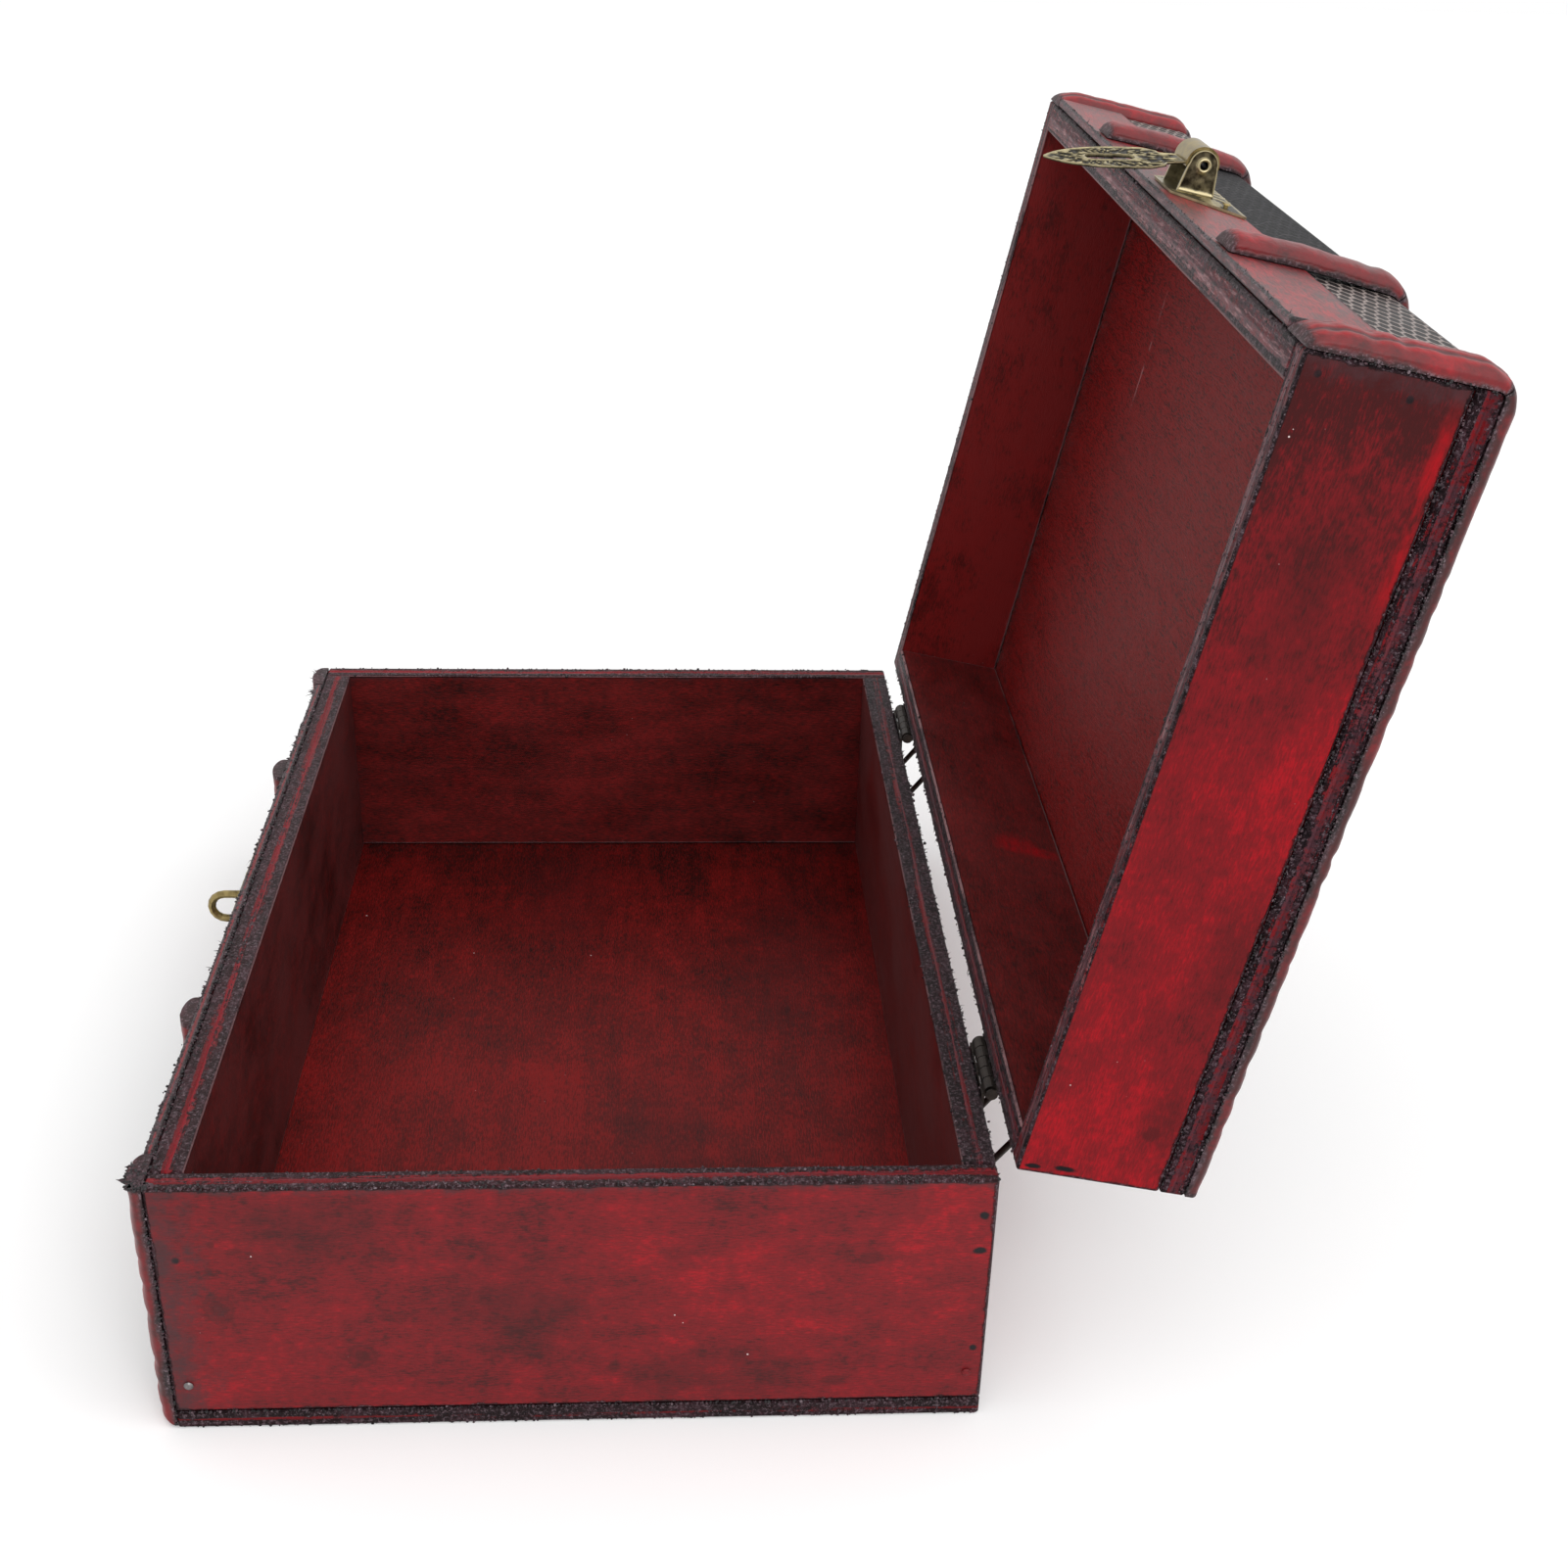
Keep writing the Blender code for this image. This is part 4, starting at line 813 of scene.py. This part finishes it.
brass = old_metal("rubbed_brass", colour(164, 146, 98), colour(84, 70, 38), 0.18)
stamped_brass = old_metal("stamped_brass", colour(178, 166, 130), colour(26, 21, 10), 0.2, relief=True)
bronze = old_metal("dark_bronze", colour(58, 50, 45), colour(22, 18, 17), 0.3)
steel = old_metal("nail_steel", colour(150, 145, 145), colour(70, 66, 66), 0.3)
for node in nodes:
    if node.startswith(("hasp", "staple")):
        dress(node, brass)
    elif node.startswith(("hinge", "lid_stop")):
        dress(node, bronze)
    elif "nail" in node:
        dress(node, board_looks["base_end_right"] if node == "base_end_nail_right_back" else steel)
print("four metals")

# %% [markdown]
# Plates with a hole are made as rings. Points on the outline are joined to points on the hole in the
# same direction, which gives lines from hole to edge; a closed loop of heights along each line makes
# top, side, underside and the wall of the hole.

# %% Plates with a hole
TOP_COUNT, UNDER_COUNT = 22, 5


def even_outline(corners, count):
    """Spread points evenly along a closed line of corners."""
    closed = np.concatenate([corners, corners[:1]])
    run = np.cumsum(np.r_[0.0, np.linalg.norm(np.diff(closed, axis=0), axis=1)])
    along = np.linspace(0.0, run[-1], count, endpoint=False)
    return joined(*(np.interp(along, run, column) for column in closed.T)), along


def pulled_curve(start, middle, end, count=24):
    """Points on a curve from start to end that is pulled towards a middle point."""
    t = np.linspace(0.0, 1.0, count)[:, None]
    return (1 - t) ** 2 * np.array(start) + 2 * t * (1 - t) * np.array(middle) + t ** 2 * np.array(end)


def pierced_plate(corners, middle, hole, count, heights, under):
    """A plate with a hole as a ring of loops (rows, columns, 3): two flat axes, then the height.

    hole(directions) gives the hole's edge; heights(share, along) gives the top in mm over the middle
    plane, share 0 at the hole, 1 at the edge; under holds the underside's first and last height.
    """
    edge, along = even_outline(corners - middle, count)
    rim = hole(np.arctan2(edge[:, 1], edge[:, 0]))
    share = np.r_[np.linspace(0.0, 1.0, TOP_COUNT), np.linspace(1.0, 0.0, UNDER_COUNT)]
    flat = rim[:, None] + (edge - rim)[:, None] * share[None, :, None] + middle
    top = heights(share[None, :TOP_COUNT], along[:, None])
    below = np.broadcast_to(np.linspace(*under, UNDER_COUNT), (count, UNDER_COUNT))
    return np.concatenate([flat, np.concatenate([top, below], axis=1)[..., None]], axis=-1)


print("points on one line of a plate:", TOP_COUNT + UNDER_COUNT)

# %% [markdown]
# The tongue is a leaf with a slot for the staple. Rough grains in two loose rows of teeth are stamped
# between a raised rim and the lip of the slot, and use has twisted the leaf a little. At its root the
# sheet is rolled round the rivet.

# %% Tongue of the hasp
HASP_AXIS = np.array([0.0, -110.8, 84.5])
PIVOT = np.round(on_body(HASP_AXIS, "lid") / MM, 3)
SLOT_HALF_RUN, SLOT_HALF_WIDTH = 4.1, 2.3
SLOT_MIDDLE = np.array([0.0, -22.47])
TOOTH = 1.5
TWIST = math.radians(7.0)
HOOD_OUTSIDE, HOOD_INSIDE, HOOD_HALF = 4.3, 3.4, 6.7


def slot_edge(directions):
    """Where rays from the middle meet a slot with straight sides and round ends."""
    cosine, sine = np.abs(np.cos(directions)), np.abs(np.sin(directions))
    side = SLOT_HALF_WIDTH / np.maximum(cosine, 1e-6)
    cap = np.sqrt(np.maximum(SLOT_HALF_WIDTH ** 2 - (SLOT_HALF_RUN * cosine) ** 2, 0.0))
    reach = np.where(side * sine <= SLOT_HALF_RUN, side, SLOT_HALF_RUN * sine + cap)
    return joined(reach * np.cos(directions), reach * np.sin(directions))


def teeth(share, along):
    """A raised rim and slot lip with stamped grains between them, gathered in two loose rows of teeth."""
    outer = bell(share, 0.78, 0.16, 4) * np.abs(np.sin(math.pi * along / TOOTH))
    inner = bell(share, 0.42, 0.14, 4) * np.abs(np.cos(math.pi * along / TOOTH))
    grains = lattice_noise(joined(share * 6.0, along, 0.0), 0.75, 31)
    grains = np.clip(1.6 * grains - 0.1, 0.0, 1.0)
    lip = bell(share, 0.0, 0.12)
    rim = bell(share, 1.0, 0.08)
    field = (0.38 * grains + 0.10 * outer + 0.10 * inner) * (1.0 - rim) * (1.0 - lip)
    return 0.02 + field + 0.45 * lip + 0.5 * rim


half = np.concatenate([[(0.0, -3.7), (5.2, -3.7), (5.2, -8.8), (7.0, -9.3)],
                       pulled_curve((7.0, -9.3), (8.0, -11.0), (8.0, -19.0)),
                       pulled_curve((8.0, -19.0), (8.0, -33.6), (0.0, -39.5))])
leaf = np.concatenate([half, (half * [-1.0, 1.0])[-2:0:-1]])
ring = pierced_plate(leaf, SLOT_MIDDLE, slot_edge, 320, teeth, (-0.12, -0.5))
twist = math.tan(TWIST) * np.clip((-ring[..., 1] - 4.0) / 9.0, 0.0, 1.0) ** 1.5
lifted = ring[..., 2] - ring[..., 0] * twist
places = (PIVOT + joined(ring[..., 0], ring[..., 1], lifted)) * MM
skin("tongue_leaf", places, "tongue", stamped_brass, ("hasp_tongue",),
     {"relief": np.clip((ring[..., 2] - 0.1) / 0.5, 0.0, 1.0)}, ring=True)
turn = np.radians(np.linspace(-70.0, 186.0, 40))
arc = joined(np.cos(turn), np.sin(turn))
loop = np.concatenate([HOOD_OUTSIDE * arc, HOOD_INSIDE * arc[::-1]])
hood = PIVOT + joined(np.linspace(-HOOD_HALF, HOOD_HALF, 9)[:, None], *loop.T)
skin("tongue_hood", hood * MM, "tongue", brass)
print("tongue: leaf and hood")

# %% [markdown]
# The plates of hasp and staple widen upwards. Inside a raised rim each has a plain patch under a
# scroll in the middle, and a veined, pointed leaf on dotted ground stamped into each wing.

# %% Stamped plates
PLATE_HEIGHT, PLATE_FACE, PLATE_BACK = 16.5, -103.25, -102.9
LEAF_START, LEAF_LENGTH, LEAF_WIDTH, LEAF_LEVEL = 8.5, 13.0, 8.0, 0.62 * PLATE_HEIGHT
PLAIN_HALF, PLAIN_TOP = 8.2, 11.5
FACE_COUNT = 120


def stamped_relief(x, height):
    """Height in mm of the stamped face: a plain middle under a scroll, one veined leaf on dots in each wing."""
    along = (np.abs(x) - LEAF_START) / LEAF_LENGTH
    leaf_half = LEAF_WIDTH * np.sqrt(np.clip(along, 0.0, 1.0)) * np.clip(1.0 - along, 0.0, 1.0)
    away = np.abs(height - LEAF_LEVEL)
    inside = np.clip((leaf_half - away) / 0.7, 0.0, 1.0)
    veins = 0.5 + 0.5 * np.sin(2.2 * (np.abs(x) * 1.3 + away * 1.2))
    dots = np.clip(np.sin(3.3 * x) * np.sin(3.3 * height), 0.0, 1.0) ** 0.7
    stamped = inside * (0.14 + 0.30 * veins) + (1.0 - inside) * 0.14 * dots
    scroll = 0.38 * (0.5 + 0.5 * np.sin(1.15 * x + 1.6 * np.sin(1.1 * height))) ** 2
    return np.where(np.abs(x) < PLAIN_HALF, np.where(height < PLAIN_TOP, 0.24, scroll), stamped)


def wing_plate(name, body, foot, half_foot, half_top, replaced):
    """A plate whose width grows along its height; loops run across the face and back behind it."""
    level = np.linspace(0.0, PLATE_HEIGHT, 56)
    width = half_foot + (half_top - half_foot) * level / PLATE_HEIGHT
    face = np.linspace(-1.0, 1.0, FACE_COUNT)
    x = width[:, None] * np.r_[face, face[::-20]][None]
    height = np.broadcast_to(level[:, None], x.shape)
    rim = np.minimum(np.minimum(level, PLATE_HEIGHT - level)[:, None], (width[:, None] - np.abs(x)) * 0.8)
    raised = np.clip(1.4 - rim / 0.6, 0.0, 1.0) * 0.26
    relief = np.maximum(stamped_relief(x, height), raised)
    y = np.where(np.arange(x.shape[1])[None] < FACE_COUNT, PLATE_FACE - relief, PLATE_BACK)
    sheet = on_body(joined(x, y, foot + height), body)
    marks = {"relief": np.clip(relief / 0.4, 0.0, 1.0)}
    return skin(name, sheet, body, stamped_brass, (replaced,), marks)


wing_plate("hasp_wing_plate", "lid", 77.5, 10.0, 25.0, "hasp_plate")
wing_plate("staple_wing_plate", "base", 55.5, 10.0, 24.0, "staple_plate")
print("two stamped plates")

# %% [markdown]
# Two ears stand up from the hasp's plate; each narrows towards the rivet and has a raised rim. The
# rivet is a hollow tube that was flared at both ends, so its lip shines and its bore is dark.

# %% Ears and rivet
EAR_PLACE, EAR_ROUND, EYE_RADIUS = 7.5, 3.6, 1.7
LIP_PLACE, LIP_RADIUS, LIP_ROUND = 8.25, 1.45, 0.42
TUBE_RADIUS, BORE_RADIUS = 1.4, 1.0


def eye(directions):
    """The round hole of an ear."""
    return EYE_RADIUS * joined(np.cos(directions), np.sin(directions))


def ear_heights(share, along):
    """A flat hollow face with a rounded rim near the edge and a low collar round the hole."""
    return 0.12 + 0.38 * bell(share, 0.93, 0.09, 4) + 0.2 * bell(share, 0.0, 0.10) + 0.0 * along


bow = np.radians(np.linspace(0.0, 180.0, 40))
ear = np.concatenate([[(4.9, 7.3), (4.0, 1.2)], joined(EAR_ROUND * np.cos(bow), -EAR_ROUND * np.sin(bow)),
                      [(-4.0, 1.2), (-4.9, 7.3)]])
for sign, hand in ((-1.0, "left"), (1.0, "right")):
    ring = pierced_plate(ear, np.zeros(2), eye, 150, ear_heights, (-0.5, -0.5))
    shut = HASP_AXIS + joined(sign * (EAR_PLACE + ring[..., 2]), ring[..., 1], ring[..., 0])
    skin("hasp_ear_" + hand, on_body(shut, "lid"), "lid", stamped_brass, (),
         {"relief": np.where(ring[..., 2] < 0.0, 0.4, np.clip(ring[..., 2] / 0.5, 0.0, 1.0))}, ring=True)

around = np.linspace(0.0, 2.0 * math.pi, 36, endpoint=False)
flare = np.radians(np.linspace(-80.0, 170.0, 14))
lip = joined(LIP_PLACE + LIP_ROUND * np.sin(flare), LIP_RADIUS + LIP_ROUND * np.cos(flare))
tube = np.concatenate([lip, [(7.4, BORE_RADIUS), (4.0, BORE_RADIUS)]])
outside = [(place, TUBE_RADIUS) for place in (-7.6, 0.0, 7.6)]
tube = np.concatenate([tube, (tube * [-1.0, 1.0])[::-1], outside])
shine = np.concatenate([np.ones(14), np.full(4, -1.0), np.ones(14), np.full(3, 0.4)])
along, radius = tube[:, :1], tube[:, 1:]
rivet = HASP_AXIS + joined(along, radius * np.cos(around), radius * np.sin(around))
skin("hasp_eyelet", on_body(rivet, "lid"), "lid", stamped_brass, ("hasp_rivet",),
     {"relief": np.repeat(shine, len(around))}, ring=True)
print("ears and the hollow rivet")

# %% [markdown]
# Dried stain clings to the sawn edges. Crumbs are small twenty-sided lumps scattered along straight
# runs, each pushed out of shape by its own seeded random numbers. They are kept on their own side of
# the line where lid and base meet, so the shut lid still clears them.

# %% Crumbs
GOLDEN = (1.0 + math.sqrt(5.0)) / 2.0
FLAT = np.array([(-1, GOLDEN, 0), (1, GOLDEN, 0), (-1, -GOLDEN, 0), (1, -GOLDEN, 0)]) / math.hypot(1.0, GOLDEN)
LUMP = np.concatenate([np.roll(FLAT, axis, axis=1) for axis in range(3)])
LUMP_FACES = np.array([(0, 11, 5), (0, 5, 1), (0, 1, 7), (0, 7, 10), (0, 10, 11), (1, 5, 9), (5, 11, 4),
                       (11, 10, 2), (10, 7, 6), (7, 1, 8), (3, 9, 4), (3, 4, 2), (3, 2, 6), (3, 6, 8),
                       (3, 8, 9), (4, 9, 5), (2, 4, 11), (6, 2, 10), (8, 6, 7), (9, 8, 1)])
ROOM = {"base": ((-150.75, -115.0, 0.05), (150.75, 102.0, 74.17)),
        "lid": ((-150.75, -115.0, 74.23), (150.75, 102.0, 121.0))}

crumb_look = Finish("dried_stain")
tint = crumb_look.mark("tint")
fine = crumb_look.noise(crumb_look.place(False), 1500.0, 2.0)
dark = crumb_look.paint(CRUST_BLACK, (tint.ramp(0.55, 0.85), CRUST_PLUM),
                        ((tint + (fine - 0.5) * 0.1).ramp(0.93, 1.0) * 0.3, CRUST_GREY))
crumb_look.feed(Base_Color=dark, Roughness=fine * 0.3 + 0.35, Specular_IOR_Level=0.4)


def spots_along(runs, per_mm, draw):
    """Random places along straight runs (start, end, scatter), all in millimetres of the shut chest."""
    found = []
    for start, end, scatter in runs:
        start, end = np.array(start, float), np.array(end, float)
        count = int(np.linalg.norm(end - start) * per_mm)
        found.append(start + (end - start) * draw.random((count, 1)) + draw.normal(size=(count, 3)) * scatter)
    return np.concatenate(found)


def loose_bits(name, bits, faces, tint):
    """Twelve-point bits (count, 12, 3) as one piece on the body that ends its name, clipped to its room."""
    body = name.rsplit("_", 1)[1]
    places = on_body(np.clip(bits, *ROOM[body]), body).reshape(-1, 3)
    piece(name, places, faces, body, crumb_look, marks={"tint": np.repeat(tint, 12)}, sharp=180.0)


def crumbs(name, runs, per_mm, size, seed):
    """Lumps of uneven size: each of the twelve points moves in or out by its own share."""
    draw = np.random.default_rng(seed)
    middle = spots_along(runs, per_mm, draw)
    count = len(middle)
    radius = size * draw.lognormal(0.0, 0.45, (count, 1, 1)) * draw.uniform(0.5, 1.6, (count, 1, 3))
    lumps = middle[:, None] + LUMP[None] * np.minimum(radius, 2.2 * size) * draw.uniform(0.7, 1.25, (count, 12, 1))
    faces = (LUMP_FACES[None] + 12 * np.arange(count)[:, None, None]).reshape(-1, 3)
    loose_bits(name, lumps, faces.tolist(), draw.random(count))


def along_y(x, level, half=100.0, scatter=0.45, lift=0.08):
    return (x, -half, level), (x, half, level), (scatter, 0.0, lift)


def along_x(y, level, half=143.0, scatter=0.5, lift=0.08):
    return (-half, y, level), (half, y, level), (0.0, scatter, lift)


def trim_seam(x, low, high):
    """Upright run in the seam between an end board and its trim."""
    return (x, -100.1, low), (x, -100.1, high), (0.06, 0.22, 0.0)


def rim_runs(level):
    """The edges of a rim that base and lid share."""
    return [along_y(144.6, level, 92.0, 0.4), along_y(-149.3, level), along_y(-144.6, level, 92.0, 0.4),
            along_x(99.4, level), along_x(92.6, level, scatter=0.4), along_x(-99.4, level, scatter=0.7)]


ENDS = (-150.0, 150.0)
CRUMBS = {
    "rim_crumbs_base": ([along_y(149.3, 73.85), *rim_runs(73.85), along_x(-100.2, 73.95, scatter=0.25, lift=0.05),
                         along_x(-102.3, 73.85, 135.0, 0.35)], 1.8, 0.25, 11),
    "rim_crumbs_lid": ([along_y(146.8, 74.5, scatter=0.5, lift=0.06), *rim_runs(74.55)], 1.1, 0.22, 12),
    "seam_crumbs_base": ([*(trim_seam(x, 1.0, 73.5) for x in ENDS),
                          *(along_y(x, 5.35, 99, 0.06, 0.12) for x in ENDS),
                          *(along_y(x, 0.6, 99, 0.08, 0.25) for x in (-149.8, 149.8))], 1.8, 0.22, 13),
    "seam_crumbs_lid": ([*(along_y(x, 110.15, 99, 0.06, 0.15) for x in ENDS),
                         *(trim_seam(x, 75.0, 115.0) for x in ENDS),
                         *(((x, -98, 116.6), (x, 99, 116.6), (0.06, 0.0, 0.2)) for x in ENDS)], 1.6, 0.2, 14),
    "corner_crumbs_base": ([((140.0, -102.5, 73.8), (149.5, -102.5, 73.8), (0.4, 1.3, 0.15)),
                            ((148.5, -104, 73.8), (148.5, -98, 73.8), (0.8, 0.3, 0.15))], 9.0, 0.42, 15),
}
for name, settings in CRUMBS.items():
    crumbs(name, *settings)
print("crumbs on", len(CRUMBS), "sets of edges")

# %% [markdown]
# Torn fibres stick out of the same edges. They lean out of the gap between lid and base, and are
# longest at the front corners.


# %% Splinters
def splinters(name, run, per_mm, lean, length, thick, seed):
    """Curled spikes from places along a run: a three-sided ring shrinks along a line that bends sideways."""
    draw = np.random.default_rng(seed)
    foot = spots_along([run], per_mm, draw)
    count = len(foot)
    way = np.array(lean, float) + draw.normal(size=(count, 3)) * 0.55
    way /= np.linalg.norm(way, axis=1, keepdims=True)
    side = np.cross(way, draw.normal(size=(count, 3)))
    side /= np.linalg.norm(side, axis=1, keepdims=True)
    other = np.cross(way, side)
    reach = np.minimum(length * draw.lognormal(0.0, 0.5, (count, 1)), 2.6 * length)
    bend = draw.normal(size=(count, 1)) * 0.7
    wide = thick * draw.uniform(0.6, 1.4, (count, 1))
    rings = []
    for share in (-0.2, 0.3, 0.65, 1.0):
        line = foot + reach * (way * share + side * bend * share ** 2)
        ring = wide * (1.05 - share)
        rings += [line + ring * (side * math.cos(turn) + other * math.sin(turn)) for turn in (0.0, 2.1, 4.2)]
    walls = [(r + a, r + (a + 1) % 3, r + 3 + (a + 1) % 3, r + 3 + a) for r in (0, 3, 6) for a in range(3)]
    shift = 12 * np.arange(count)[:, None, None]
    faces = (np.array(walls)[None] + shift).reshape(-1, 4).tolist()
    faces += (np.array([(2, 1, 0), (9, 10, 11)])[None] + shift).reshape(-1, 3).tolist()
    loose_bits(name, np.stack(rings, axis=1), faces, draw.random(count) * 0.9)


FAR_CORNER = ((-149, -104.0, 73.2), (-128, -103.0, 73.4), (0.4, 0.3, 0.3))
NEAR_CORNER = ((139, -104.2, 73.4), (149.0, -104.4, 73.6), (0.5, 0.4, 0.2))
SPLINTERS = {
    "front_splinters_base": (along_x(-102.6, 73.6, 150, 0.2, 0.2), 0.2, (0.0, -1.0, 0.1), 0.8, 0.18, 21),
    "far_splinters_base": (FAR_CORNER, 1.6, (-0.3, -1.0, 0.3), 1.4, 0.22, 27),
    "back_splinters_base": (along_x(99.9, 73.6, 148, 0.1, 0.2), 0.5, (0.0, 1.0, 0.1), 0.6, 0.18, 22),
    "corner_splinters_base": (NEAR_CORNER, 0.9, (-0.6, -1.0, 0.5), 2.0, 0.5, 23),
    "back_splinters_lid": (along_x(99.9, 74.8, 148, 0.1, 0.2), 0.7, (0.0, 1.0, -0.1), 0.6, 0.16, 24),
    "front_splinters_lid": (along_x(-102.7, 74.8, 135, 0.1, 0.2), 0.3, (0.0, -1.0, -0.1), 0.5, 0.14, 25),
    "end_splinters_lid": (along_y(-149.9, 74.9, 98, 0.1, 0.2), 0.8, (-1.0, 0.0, -0.1), 0.4, 0.14, 26),
}
for name, settings in SPLINTERS.items():
    splinters(name, *settings)
print("splinters on", len(SPLINTERS), "edges")

# %% [markdown]
# A white studio: a very broad soft sun from above the back of the near end, a small soft lamp beside
# the camera and an even sky. The sky is white to the camera and in reflections, a little dimmer as a
# light; the pale floor takes the chest's shadow.

# %% Light and floor
SKY_AS_LIGHT = 0.75


def lamp(name, kind, power, place, target, **settings):
    """A lamp at a place, turned towards a target."""
    light = bpy.data.lights.new(name, kind)
    light.energy = power
    for key, value in settings.items():
        setattr(light, key, value)
    obj = bpy.data.objects.new(name, light)
    obj.location = place
    obj.rotation_euler = (Vector(target) - Vector(place)).to_track_quat("-Z", "Y").to_euler()
    bpy.context.scene.collection.objects.link(obj)


lamp("beside_camera", "AREA", 6.0, (1.25, 0.25, 0.85), (0.0, 0.05, 0.1), shape="SQUARE", size=0.8)
lamp("daylight", "SUN", 1.25, (0.45, 0.45, 1.0), (0.0, 0.0, 0.0), angle=math.radians(75.0))

sky = Finish("white_room", sky=True)
bpy.context.scene.world = sky.material
rays = [sky.node("ShaderNodeLightPath", out=f"Is {ray} Ray") for ray in ("Camera", "Transmission", "Glossy")]
seen = reduce(Term.most, rays)
sky.feed(Color=(1.0, 1.0, 1.0, 1.0), Strength=seen * (1.0 - SKY_AS_LIGHT) + SKY_AS_LIGHT)

bpy.ops.mesh.primitive_plane_add(size=6.0, location=(0.0, 0.0, 0.0))
floor = bpy.context.object
floor.name = "floor"
ground = Finish("white_floor")
ground.feed(Base_Color=(0.97, 0.97, 0.97, 1.0), Roughness=0.7, Specular_IOR_Level=0.1)
floor.data.materials.append(ground.material)
print("lamps and floor are set")
